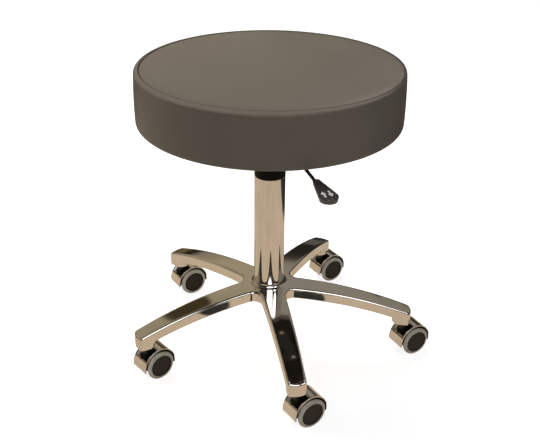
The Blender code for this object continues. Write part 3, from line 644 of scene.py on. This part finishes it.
# Star base
starBase = {"arms": 5, "turn": radians(208.75), "circle": 0.2286, "tip": 0.0148, "rootHalf": 0.0198,
            "reach": 0.0134, "corner": 0.0042, "lean": radians(23.3), "web": 0.015, "crest": 0.12062,
            "drop": 0.0325, "arch": 2.3, "depth": 0.018, "wall": 0.004, "edge": 0.0032, "draft": 0.008,
            "crease": 0.0006, "footRound": 0.001, "bore": 0.0253, "lip": 0.0002, "lipRound": 0.0003,
            "fillet": 0.007, "skirt": 0.0024, "skirtDrop": 0.003, "hubWall": 0.006, "hubDepth": 0.0237,
            "hubStep": 0.0009, "bossTop": 0.007, "bossBlend": 0.002, "bossDepth": 0.0268, "bossBack": 0.003}
armSteps = {"bow": 8, "corner": 8, "side": 60, "web": 12, "top": 12, "edge": 6, "under": 8, "boss": 14}
halfStep = pi / starBase["arms"]


def crestHeight(radius):
    return starBase["crest"] - starBase["drop"] * (radius / starBase["circle"]) ** starBase["arch"]


def armEnd(sweep):
    # Half of the squared end with its slight bow and round corner, as edge point and inward direction.
    front = starBase["circle"] + starBase["reach"]
    corner, lean = starBase["corner"], starBase["lean"]
    reach = starBase["tip"] - corner * (1 - sin(lean))
    bow = reach * tan(lean) / 2
    parts = []
    for i in range(armSteps["bow"] + 1):
        share = i / armSteps["bow"]
        inward = Vector((-1, -share * tan(lean))).normalized()
        parts.append((Vector((front - bow * share ** 2, reach * share)), inward))
    centre = Vector((front - bow - corner * cos(lean), reach - corner * sin(lean)))
    for x, y in arcPoints(0, 0, 1, lean, sweep, armSteps["corner"])[1:]:
        parts.append((centre + corner * Vector((x, y)), Vector((-x, -y))))
    return parts


def armSide():
    # One side of an arm from its end to the middle of the web, as edge point, inward direction and
    # inner end.
    circle, tip, half = starBase["circle"], starBase["tip"], starBase["rootHalf"]
    web, bore = starBase["web"], starBase["bore"]
    middle = (half + web) / sin(halfStep)
    webMiddle = Vector((middle * cos(halfStep), middle * sin(halfStep)))
    taper = atan2(half - tip, circle - webMiddle.x)
    side = [(point, inward, Vector((circle, 0))) for point, inward in armEnd(pi / 2 - taper)]
    start, end = side[-1][0], Vector((webMiddle.x, half))
    for i in range(1, armSteps["side"] + 1):
        share = i / armSteps["side"]
        inner = Vector((circle + (bore - circle) * share, 0))
        side.append((start.lerp(end, share), Vector((-sin(taper), -cos(taper))), inner))
    arc = arcPoints(0, 0, 1, -pi / 2, halfStep - pi, armSteps["web"])
    for i, (x, y) in enumerate(arc[1:], 1):
        turn = halfStep * i / armSteps["web"]
        inner = bore * Vector((cos(turn), sin(turn)))
        side.append((webMiddle + web * Vector((x, y)), Vector((x, y)), inner))
    return side


def armSection(point, inward, inner):
    # From the middle over the top edge, down the wall and up into the channel below.
    edge, depth, wall = starBase["edge"], starBase["depth"], starBase["wall"]
    crease, foot = starBase["crease"], starBase["footRound"]
    rim = crestHeight(point.length)
    rows = []
    start = point + inward * (edge + crease)
    for i in range(armSteps["top"] + 1):
        spot = inner.lerp(start, i / armSteps["top"])
        rows.append((spot.x, spot.y, crestHeight(spot.length)))
    for i in range(armSteps["edge"] + 1):
        turn = pi / 2 * i / armSteps["edge"]
        spot = point + inward * edge * (1 - sin(turn))
        rows.append((spot.x, spot.y, rim - edge * (1 - cos(turn))))
    levels = [(0, edge + crease), (0, depth - 1.4 * foot), (0, depth - 0.8 * foot)]
    levels += [(0.3 * foot, depth - 0.2 * foot), (foot, depth), (wall - crease, depth)]
    levels += [(wall, depth - crease), (wall, wall + foot)]
    for inset, drop in levels:
        spot = point + inward * (inset + starBase["draft"] * (drop - edge) * (inset < wall))
        rows.append((spot.x, spot.y, rim - drop))
    start = point + inward * (wall + foot)
    for i in range(armSteps["under"] + 1):
        spot = start.lerp(inner, i / armSteps["under"])
        rows.append((spot.x, spot.y, crestHeight(spot.length) - wall))
    return rows


def makeArms():
    sections = [armSection(*part) for part in armSide()]
    count = len(sections[0])
    boreStart = armSteps["bow"] + armSteps["corner"] + armSteps["side"]
    points, faces = [], []
    for arm in range(starBase["arms"]):
        turn = starBase["turn"] + 2 * halfStep * arm
        for flip in (1, -1):
            start = len(points)
            for section in sections:
                for x, y, z in section:
                    y *= flip
                    points.append((x * cos(turn) - y * sin(turn), x * sin(turn) + y * cos(turn), z))
            for i in range(len(sections) - 1):
                near, far = start + i * count, start + (i + 1) * count
                for j in range(count - 1):
                    faces.append((near + j, near + j + 1, far + j + 1, far + j))
                if i >= boreStart:
                    faces.append((near + count - 1, near, far, far + count - 1))
    return addPiece("arms", points, faces)


def makeHub():
    bore, lip, fillet = starBase["bore"], starBase["lip"], starBase["fillet"]
    edge, foot = starBase["lipRound"], starBase["footRound"]
    centre = bore + lip + fillet
    height = crestHeight(centre) + fillet
    low = starBase["crest"] - starBase["hubDepth"]
    outer = bore + starBase["hubWall"]
    profile = [(bore, height - edge), (bore + edge, height)]
    profile += arcPoints(centre, height, fillet, pi, 1.5 * pi, 14)
    profile += [(centre + starBase["skirt"], crestHeight(centre) - starBase["crease"])]
    profile += [(outer, crestHeight(outer) - starBase["skirtDrop"]), (outer, low + foot)]
    profile += [(outer - 0.3 * foot, low + 0.3 * foot), (outer - foot, low)]
    profile += [(bore - starBase["hubStep"], low)]
    return turnedPiece("hub", profile, 128)


def makeBoss(turn):
    # Block under an arm's end, square in front and round behind.
    circle, tip, depth = starBase["circle"], starBase["tip"], starBase["bossDepth"]
    start, foot = starBase["bossTop"], starBase["footRound"]
    back = circle - starBase["bossBack"]
    half = armEnd(pi / 2)
    half += [(Vector((back + tip * x, tip * y)), Vector((-x, -y)))
             for x, y in arcPoints(0, 0, 1, pi / 2, pi, armSteps["boss"])]
    outline = half + [(Vector((p.x, -p.y)), Vector((n.x, -n.y))) for p, n in half[-2:0:-1]]
    levels = [(start, 0.8 * foot), (start + starBase["bossBlend"], touch), (depth - foot, touch)]
    levels += [(depth - 0.3 * foot, 0.3 * foot), (depth, 0.9 * foot)]
    loops = []
    for drop, inset in levels:
        inset += starBase["draft"] * (drop - starBase["edge"])
        loops.append([(*(p + inset * n), crestHeight(circle) - drop) for p, n in outline])
    return loftPiece("boss", loops, Matrix.Rotation(turn, 4, "Z"))


def makeStarBase():
    shapes = [makeArms(), makeHub()]
    for i in range(starBase["arms"]):
        shapes.append(makeBoss(starBase["turn"] + 2 * halfStep * i))
    return fitPiece(mergePieces("starBase", shapes), "base", "chrome", ["star_base"])


makeStarBase()
print("star base ready")

# Casters. A hood is drawn about its axle: X behind the stem, Y up and Z along the axle.
wheel = {"sides": "ab", "inside": 0.0098, "outside": 0.0217, "disc": 0.0188}
tread = {"lip": 0.0003, "face": 0.0200, "faceRound": 0.0008, "crown": (0.0026, 0.0046), "crownRound": 0.0022,
         "back": 0.0212, "backRound": 0.0010}
disc = {"recess": 0.0010, "dip": 0.0002, "ridge": 0.011, "ridgeRound": 0.004, "trough": 0.0003,
        "lip": 0.0172, "lipSlope": 0.0006, "lipDrop": 0.0002, "round": 0.0005, "hub": 0.0033,
        "hubRound": 0.0003, "floor": 0.0022}
hood = {"inner": 0.0273, "outer": 0.0293, "half": 0.0174, "start": radians(-12), "end": radians(190),
        "windowStart": radians(98), "windowEnd": radians(148), "strip": 0.0012, "edge": 0.0003,
        "rimLow": 0.0274, "rimHigh": 0.0296, "rimDepth": 0.0018, "rimStart": radians(30),
        "rimRound": 0.0003, "rimFront": 0.0004, "skinStart": radians(12), "skin": 0.0007, "lining": 0.0013,
        "web": 0.004, "webGap": 0.0002, "webEdge": 0.0005, "socket": 0.0076, "socketLow": -0.009,
        "socketTop": 0.0226, "socketRound": 0.0008, "socketHole": 0.0058, "holeRound": 0.0004,
        "holeFloor": -0.0034, "turnStep": radians(3), "acrossStep": 0.0035}
stem = {"radius": 0.0055, "collar": 0.0085, "collarDepth": 0.0027, "topRound": 0.001, "collarRound": 0.0005,
        "lowRound": 0.0008}
trail = boxMiddle("caster_1_axle").xy - boxMiddle("caster_1_stem").xy
axleHeight = boxMiddle("caster_1_axle").z      # and so the wheel's radius


def spacedValues(stops, step):
    # Even steps between the given stops.
    values = [stops[0]]
    for low, high in zip(stops, stops[1:]):
        count = max(1, round((high - low) / step))
        values += [low + (high - low) * i / count for i in range(1, count + 1)]
    return values


def makeShell(name, start, outer, wall):
    # Part of a tube about the axle, with the window left out.
    turns = spacedValues([start, hood["windowStart"], hood["windowEnd"], hood["end"]], hood["turnStep"])
    half = hood["half"]
    clear = half - hood["strip"]
    across = spacedValues([-half, -clear, clear, half], hood["acrossStep"])
    points = [(outer * cos(a), outer * sin(a), z) for a in turns for z in across]
    wide = len(across)
    faces = []
    for i in range(len(turns) - 1):
        middle = (turns[i] + turns[i + 1]) / 2
        for j in range(wide - 1):
            inWindow = abs(across[j] + across[j + 1]) / 2 < clear
            if hood["windowStart"] < middle < hood["windowEnd"] and inWindow:
                continue
            faces.append((i * wide + j, i * wide + j + 1, (i + 1) * wide + j + 1, (i + 1) * wide + j))
    shell = addPiece(name, points, faces)
    thick = shell.modifiers.new("wall", "SOLIDIFY")
    thick.thickness = wall
    thick.offset = -1 if shell.data.polygons[0].normal.dot(Vector(points[0])) > 0 else 1
    return bevelEdges(shell, min(hood["edge"], 0.3 * wall), radians(50))


def makeRim(side):
    # Flat-faced rim along one edge of the hood.
    low, high, face = hood["rimLow"], hood["rimHigh"], hood["half"]
    back, edge = face - hood["rimDepth"], hood["rimRound"]
    corners = [(low, face, edge), (high, face, hood["rimFront"]), (high, back, edge), (low, back, edge)]
    section = roundedProfile(corners, 3)
    turns = spacedValues([hood["rimStart"], hood["end"]], hood["turnStep"])
    return loftPiece("rim", [[(r * cos(a), r * sin(a), side * z) for r, z in section] for a in turns])


def makeHoodShell():
    shapes = [makeShell("shell", hood["skinStart"], hood["outer"], hood["skin"])]
    shapes += [makeRim(side) for side in (-1, 1)]
    return mergePieces("hoodShell", shapes)


def makeHoodBody():
    # Dark plate between the wheels, with the stem's socket and the hood's lining.
    lining = makeShell("lining", hood["start"], hood["outer"] - hood["skin"], hood["lining"])
    edge = arcPoints(0, 0, hood["inner"] - hood["webGap"], hood["start"], hood["end"], 60)
    plate = loftPiece("plate", [[(x, y, z) for x, y in edge] for z in (-hood["web"], hood["web"])])
    plate = bevelEdges(plate, hood["webEdge"], radians(30))
    low, top, floor = hood["socketLow"], hood["socketTop"], hood["holeFloor"]
    radius, hole, corner = hood["socket"], hood["socketHole"], hood["socketRound"]
    corners = [(0, low, 0), (radius, low, corner), (radius, top, corner), (hole, top, hood["holeRound"])]
    corners += [(hole, floor, 0), (0, floor, 0)]
    upright = Matrix.Translation((-trail.length, 0, 0)) @ Matrix.Rotation(-pi / 2, 4, "X")
    socket = turnedPiece("socket", roundedProfile(corners), 48, upright)
    return mergePieces("hoodBody", [plate, socket, lining])


def makeTread():
    low, high = wheel["inside"], wheel["outside"]
    inner, corner = wheel["disc"] + snug, tread["crownRound"]
    corners = [(inner, high - tread["lip"], 0), (tread["face"], high, tread["faceRound"])]
    corners += [(axleHeight, high - drop, corner) for drop in tread["crown"]]
    corners += [(tread["back"], low, tread["backRound"]), (inner, low + tread["lip"], 0)]
    return turnedPiece("tread", roundedProfile(corners, 6), 72)


def makeDisc():
    low, high, radius = wheel["inside"], wheel["outside"], wheel["disc"]
    face, top, floor = high - disc["recess"], high - disc["lipDrop"], high - disc["floor"]
    lip, slope, edge, hub = disc["lip"], disc["lipSlope"], disc["round"], disc["hub"]
    corners = [(0, face - disc["dip"], 0), (disc["ridge"], face, disc["ridgeRound"])]
    corners += [(lip - slope, face - disc["trough"], slope), (lip, top, edge), (radius, top, edge)]
    corners += [(radius, low, edge), (hub, low, disc["hubRound"]), (hub, floor, 0), (0, floor, 0)]
    return turnedPiece("disc", roundedProfile(corners), 72)


def makeStem():
    low, high = nodeHeights("caster_1_stem")
    collarTop = crestHeight(starBase["circle"]) - starBase["bossDepth"] - snug
    collarLow = collarTop - stem["collarDepth"]
    radius, collar, edge, end = stem["radius"], stem["collar"], stem["collarRound"], stem["lowRound"]
    corners = [(0, high, 0), (radius, high, stem["topRound"]), (radius, collarTop, 0)]
    corners += [(collar, collarTop, edge), (collar, collarLow, end), (radius, collarLow, edge)]
    corners += [(radius, low, end), (0, low, 0)]
    return turnedPiece("stem", roundedProfile(corners), 48)


def makeCasters():
    patterns = {"shell": makeHoodShell(), "body": makeHoodBody(), "tread": makeTread(),
                "disc": makeDisc(), "stem": makeStem()}
    near = Matrix.Rotation(pi / 2, 4, "X")
    far = Matrix.Rotation(-pi / 2, 4, "X")
    for i in range(1, starBase["arms"] + 1):
        name = f"caster_{i}"
        place, middle = boxMiddle(f"{name}_axle"), boxMiddle(f"{name}_stem")
        heading = atan2(place.y - middle.y, place.x - middle.x)
        axle = Matrix.Translation(place) @ Matrix.Rotation(heading, 4, "Z")
        shell = copyPiece(f"hoodShell{i}", patterns["shell"], axle @ near)
        fitPiece(shell, name, "chrome", [f"{name}_hood"])
        body = copyPiece(f"hoodBody{i}", patterns["body"], axle @ near)
        fitPiece(body, name, "black_plastic")
        post = copyPiece(f"casterStem{i}", patterns["stem"], Matrix.Translation((middle.x, middle.y, 0)))
        fitPiece(post, "base", "black_steel", [f"{name}_stem"])
        for side, turn in zip(wheel["sides"], (near, far)):
            wheelBody = f"wheel_{i}_{side}"
            ring = copyPiece(f"wheelTread{i}{side}", patterns["tread"], axle @ turn)
            fitPiece(ring, wheelBody, "grey_tread", [f"{name}_tread_{side}"])
            core = copyPiece(f"wheelDisc{i}{side}", patterns["disc"], axle @ turn)
            fitPiece(core, wheelBody, "wheel_plastic", [f"{name}_core_{side}"])
    for pattern in patterns.values():
        bpy.data.objects.remove(pattern, do_unlink=True)


makeCasters()
print("casters ready")

# Height lever, drawn along X from the column's axis. An arrow's notch and shaft are shares of its size.
lever = {"turn": radians(-73.0), "height": 0.40192, "rod": 0.0025, "rodRound": 0.0006, "overrun": 0.006,
         "paddleAt": 0.2118, "length": 0.0668, "half": 0.0134, "neck": 0.0044, "thickness": 0.0085,
         "sweep": radians(100), "rim": 0.0028, "dish": 0.0014, "round": 0.001, "step": 0.0007,
         "socket": 0.034, "arrowAt": 0.047, "arrowApart": 0.0047, "arrowLength": 0.017, "arrowHalf": 0.0040,
         "notch": 0.02, "shaft": 0.36, "print": 0.0002}
paddleSteps = {"side": 16, "end": 40}
leverPlace = Matrix.Rotation(lever["turn"], 4, "Z") @ Matrix.Translation((0, 0, lever["height"]))


def paddleOutline(inset):
    centre = lever["paddleAt"] + lever["length"] - lever["half"]
    curve = arcPoints(centre, 0, lever["half"] - inset, -lever["sweep"], lever["sweep"], paddleSteps["end"])
    first = Vector((lever["paddleAt"] + 2 * inset, inset / 2 - lever["neck"]))
    last = Vector(curve[0])
    run = [tuple(first.lerp(last, i / paddleSteps["side"])) for i in range(paddleSteps["side"])]
    return run + curve + [(x, -y) for x, y in reversed(run)]


def makePaddle():
    # From the dish over the rim and down to a slightly smaller lower half.
    half, rim, step, edge = lever["thickness"] / 2, lever["rim"], lever["step"], lever["round"]
    dish = half - lever["dish"]
    levels = [(rim + 1.4 * edge, dish), (rim + 0.6 * edge, dish + 0.2 * edge)]
    levels += [(rim + 0.2 * edge, half - 0.4 * edge), (rim - 0.4 * edge, half), (1.4 * edge, half)]
    levels += [(0.6 * edge, half - 0.3 * edge), (0.1 * edge, half - edge), (0, half - 1.8 * edge)]
    levels += [(0, 0.6 * edge), (0.3 * edge, 0.2 * edge), (step, 0), (step, 1.2 * edge - half)]
    levels += [(step + 0.3 * edge, 0.4 * edge - half), (step + 1.1 * edge, -half)]
    loops = [[(x, y, height) for x, y in paddleOutline(inset)] for inset, height in levels]
    paddle = loftPiece("leverPaddle", loops, leverPlace)
    return fitPiece(paddle, "lever", "black_plastic", ["lever_paddle"], "paddle_plastic")


def makeArrows():
    # Plain up and down marks on the paddle.
    middle = lever["paddleAt"] + lever["arrowAt"]
    base = lever["thickness"] / 2 - lever["dish"]
    length, half, apart = lever["arrowLength"], lever["arrowHalf"], lever["arrowApart"]
    notch, shaft = lever["notch"], lever["shaft"]
    arrow = [(0.5, 0), (notch, 1), (notch, shaft), (-0.5, shaft)]
    arrow += [(x, -y) for x, y in reversed(arrow[1:])]
    count = len(arrow)
    points, faces = [], []
    for way in (1, -1):
        start = len(points)
        for height in (base - lever["print"], base + lever["print"]):
            points += [(middle + way * length * x, way * (apart + half * y), height) for x, y in arrow]
        faces += [list(range(start, start + count)), list(range(start + count, start + 2 * count))]
        for i in range(count):
            j = (i + 1) % count
            faces.append((start + i, start + j, start + count + j, start + count + i))
    arrows = addPiece("leverArrows", points, faces, leverPlace)
    return fitPiece(arrows, "lever", "black_plastic", finish="white_print")


def makeRod():
    start, end = -lever["overrun"], lever["paddleAt"] + lever["socket"]
    radius, edge = lever["rod"], lever["rodRound"]
    corners = [(0, start, 0), (radius, start, edge), (radius, end, edge), (0, end, 0)]
    place = leverPlace @ Matrix.Rotation(pi / 2, 4, "Y")
    rod = turnedPiece("leverRod", roundedProfile(corners, 3), 32, place)
    return fitPiece(rod, "lever", "black_steel", ["lever_rod"])


makePaddle()
makeArrows()
makeRod()
print("lever ready")

# CAD pieces that stay as they are get their finish here
for part in frame["record"]["subparts"]:
    shown = frame["nodes"][part["node"]]
    if not shown.hide_render:
        shown.data.materials.clear()
        shown.data.materials.append(finishes[part["material_slot"]])
print("carried over nodes have their finish")


# Studio
def cameraShare(tree):
    # 1 where the background is seen by the camera, in metal or through glass.
    path = addNode(tree, "LightPath").outputs
    seen = combine(tree, "Math", "MAXIMUM", path["Is Camera Ray"], path["Is Glossy Ray"])
    return combine(tree, "Math", "MAXIMUM", seen, path["Is Transmission Ray"])


studioFloor = {"size": 9.0, "dark": (0.792, 0.792, 0.792), "light": (0.80, 0.80, 0.80), "cloud": 3.0,
               "rough": (0.9, 1.0), "glow": 0.8}


def makeFloor():
    half = studioFloor["size"] / 2
    corners = [(-half, -half, 0), (half, -half, 0), (half, half, 0), (-half, half, 0)]
    floor = addPiece("studioFloor", corners, [(0, 1, 2, 3)])
    finish, tree, place = startFinish("floor_paper")
    cloud, tone = cloudTones(tree, place, studioFloor)
    glow = combine(tree, "Math", "MULTIPLY", cameraShare(tree), studioFloor["glow"])
    endFinish(finish, tree, {"Base Color": tone, "Roughness": glossOf(tree, cloud, studioFloor),
                             "Specular IOR Level": 0.0, "Emission Color": (1, 1, 1, 1),
                             "Emission Strength": glow})
    floor.data.materials.append(finish)


def onlyInMetal(card):
    card.visible_camera = False
    card.visible_diffuse = False
    card.visible_transmission = False
    card.visible_shadow = False


def glowFinish(name, toneOf):
    finish, tree, place = startFinish(name)
    glow = addNode(tree, "Emission", {"Color": toneOf(tree, place), "Strength": 1.0})
    addNode(tree, "OutputMaterial", {"Surface": glow.outputs["Emission"]})
    return finish


# Glowing ground with painted tones, which the metal mirrors in place of the floor: a painted floor
# reflection. The ground darkens beyond each line, given as a direction, where it starts and where it ends.
tanGround = {"radius": 3.5, "height": 0.0006, "sides": 64, "dark": (0.54, 0.423, 0.297),
             "light": (0.636, 0.4982, 0.3498), "cloud": 2.5, "far": (0.035, 0.035, 0.032),
             "lines": [((0.62, 0.78, 0), 0.47, 0.55), ((0, 1, 0), 0.75, 0.95)],
             # The spot is painted shade beneath the front arm.
             "spot": (0.040, -0.181, 0.0006), "spotSize": 0.0345, "spotEdge": (0.92, 1.06)}


def groundReflectionTone(tree, place):
    far = (*tanGround["far"], 1)
    tone = cloudTones(tree, place, tanGround)[1]
    for line, low, high in tanGround["lines"]:
        along = combine(tree, "VectorMath", "DOT_PRODUCT", place, line)
        tone = blend(tree, mapRange(tree, along, low, high), tone, far)
    # Painted shade: a dark spot on the ground beneath the front arm, mirrored as dark bars in the walls of
    # the arms beside it.
    away = combine(tree, "VectorMath", "DISTANCE", place, tanGround["spot"])
    low, high = (tanGround["spotSize"] * share for share in tanGround["spotEdge"])
    return blend(tree, mapRange(tree, away, low, high), far, tone)


def makeGroundReflection():
    # Glowing tan ground that only the shiny surfaces see: a painted floor reflection.
    sides, height = tanGround["sides"], tanGround["height"]
    ring = [(x, y, height) for x, y in arcPoints(0, 0, tanGround["radius"], 0, 2 * pi, sides)[:-1]]
    ground = addPiece("tanGround", ring, [list(range(sides))])
    ground.data.materials.append(glowFinish("painted_ground_reflection", groundReflectionTone))
    onlyInMetal(ground)


# Painted reflection of the room, glowing: tones by height, and patches given by turn from the back, height
# angle, size and tone. The dark patches are painted dark reflections and the bright ones painted highlights
# standing in for softboxes.
roomReflection = {
    "radius": 3.6, "lift": 0.001, "sides": 48, "rows": 12,
    "left": [(0.0, (0.09, 0.06, 0.04)), (0.05, (0.15, 0.11, 0.04)), (0.08, (0.13, 0.09, 0.04)),
             (0.11, (0.012, 0.008, 0.005)), (0.15, (0.03, 0.022, 0.015)), (0.20, (0.24, 0.20, 0.16)),
             (0.30, (0.30, 0.25, 0.16)), (0.38, (0.38, 0.31, 0.19)), (0.55, (0.36, 0.30, 0.21)),
             (0.63, (0.33, 0.28, 0.18)), (0.85, (0.20, 0.17, 0.13))],
    "right": [(0.0, (0.08, 0.075, 0.06)), (0.08, (0.11, 0.105, 0.085)), (0.13, (0.02, 0.018, 0.015)),
              (0.30, (0.018, 0.018, 0.014)), (0.36, (0.06, 0.05, 0.035)), (0.42, (0.25, 0.22, 0.175)),
              (0.55, (0.27, 0.24, 0.19)), (0.80, (0.25, 0.22, 0.18))],
    "front": (0.045, 0.04, 0.035), "rightFrom": (-0.03, 0.02), "backFrom": (-0.25, -0.05),
    # Painted dark reflections first, then two bright painted highlights in place of softboxes.
    "paintedPatches": [(-24.3, 39, 6.4, (0.055, 0.040, 0.018)), (26, 26.5, 1.2, (0.03, 0.028, 0.025)),
                (128, 45, 9, (3, 3, 3)), (171, 45, 17, (3, 3, 3))],
    "patchEdge": (1.1, 0.9),
}


def roomReflectionTone(tree, place):
    unit = addNode(tree, "VectorMath", {0: place}, operation="NORMALIZE").outputs["Vector"]
    parts = addNode(tree, "SeparateXYZ", {"Vector": unit}).outputs
    left = bandTones(tree, parts["Z"], roomReflection["left"])
    right = bandTones(tree, parts["Z"], roomReflection["right"])
    tone = blend(tree, mapRange(tree, parts["X"], *roomReflection["rightFrom"]), left, right)
    tone = blend(tree, mapRange(tree, parts["Y"], *roomReflection["backFrom"]), (*roomReflection["front"], 1), tone)
    # Painted patches: dark reflections and bright highlights that glow though no lamp is there.
    for turn, lift, size, patchTone in roomReflection["paintedPatches"]:
        turn, lift = radians(turn), radians(lift)
        towards = (sin(turn) * cos(lift), cos(turn) * cos(lift), sin(lift))
        close = combine(tree, "VectorMath", "DOT_PRODUCT", unit, towards)
        low, high = (cos(radians(share * size)) for share in roomReflection["patchEdge"])
        tone = blend(tree, mapRange(tree, close, low, high), tone, (*patchTone, 1))
    return tone


def makeRoomReflection():
    # Glowing dome that only the shiny surfaces see, painted with the room's reflection and highlights.
    sides = roomReflection["sides"]
    loops = []
    for reach, height in arcPoints(0, 0, roomReflection["radius"], 0, pi / 2, roomReflection["rows"]):
        ring = arcPoints(0, 0, reach, 0, 2 * pi, sides)[:-1]
        loops.append([(x, y, height + roomReflection["lift"]) for x, y in ring])
    room = loftPiece("studioWalls", loops, capped=False)
    room.data.materials.append(glowFinish("painted_room_reflection", roomReflectionTone))
    onlyInMetal(room)


# A lamp that is shown is mirrored by shiny surfaces. One with a piece under only lights nothing else.
lamps = {
    "keyLamp": {"place": (-0.55, 0.75, 2.1), "aim": (0, 0, 0.45), "size": (1.4, 1.1), "power": 31.5},
    "sideLamp": {"place": (-1.9, 0.1, 0.9), "aim": (0, 0, 0.4), "size": (0.9, 1.2), "power": 5.0},
    "frontLamp": {"place": (-0.5, -2.1, 1.3), "aim": (0, 0, 0.4), "size": (1.6, 1.2), "power": 7.5},
    "rightLamp": {"place": (1.7, -0.9, 0.9), "aim": (0, 0, 0.45), "size": (0.8, 1.0), "power": 2.2},
    "seatLamp": {"place": (0.75, 1.25, 1.8), "aim": (0, 0, 0.5), "size": (0.9, 0.9), "power": 4.4,
                 "shown": True, "only": "seatCushion"},
}
skyFill = 0.14      # light from all round, as a share of the white that the camera sees


def aimAt(holder, place, aim):
    holder.location = place
    holder.rotation_mode = "QUATERNION"
    holder.rotation_quaternion = (Vector(aim) - Vector(place)).to_track_quat("-Z", "Y")


def makeLamp(name, lamp):
    light = bpy.data.lights.new(name, "AREA")
    light.shape = "RECTANGLE"
    light.size, light.size_y = lamp["size"]
    light.energy = lamp["power"]
    holder = bpy.data.objects.new(name, light)
    scene.collection.objects.link(holder)
    holder.visible_glossy = lamp.get("shown", False)
    if "only" in lamp:
        lit = bpy.data.collections.new(name)
        lit.objects.link(bpy.data.objects[lamp["only"]])
        holder.light_linking.receiver_collection = lit
    aimAt(holder, lamp["place"], lamp["aim"])


def makeWorld():
    world = bpy.data.worlds.new("studioWorld")
    world.use_nodes = True
    tree = world.node_tree
    tree.nodes.clear()
    strength = mapRange(tree, cameraShare(tree), 0.0, 1.0, skyFill, 1.0)
    sky = addNode(tree, "Background", {"Color": (1, 1, 1, 1), "Strength": strength})
    addNode(tree, "OutputWorld", {"Surface": sky.outputs["Background"]})
    scene.world = world


makeFloor()
makeGroundReflection()
makeRoomReflection()
makeWorld()
for name, lamp in lamps.items():
    makeLamp(name, lamp)

# Camera, fitted to the photograph. The focal length and the centre are in its pixels.
view = {"place": (0, -1.35306, 0.94376), "aim": (0, 0, 0.25), "roll": radians(0.639),
        "focal": 932.05, "centre": (269.56, 212.28), "image": (540, 440), "sensor": 36.0}


def makeCamera():
    lens = bpy.data.cameras.new("photoCamera")
    wide, tall = view["image"]
    lens.sensor_width = view["sensor"]
    lens.lens = view["focal"] / wide * view["sensor"]
    lens.shift_x = (wide / 2 - view["centre"][0]) / wide
    lens.shift_y = (view["centre"][1] - tall / 2) / wide
    camera = bpy.data.objects.new("photoCamera", lens)
    scene.collection.objects.link(camera)
    aimAt(camera, view["place"], view["aim"])
    camera.rotation_quaternion = camera.rotation_quaternion @ Quaternion((0, 0, 1), view["roll"])
    scene.camera = camera


makeCamera()
scene.view_settings.view_transform = "Standard"
print("studio ready")
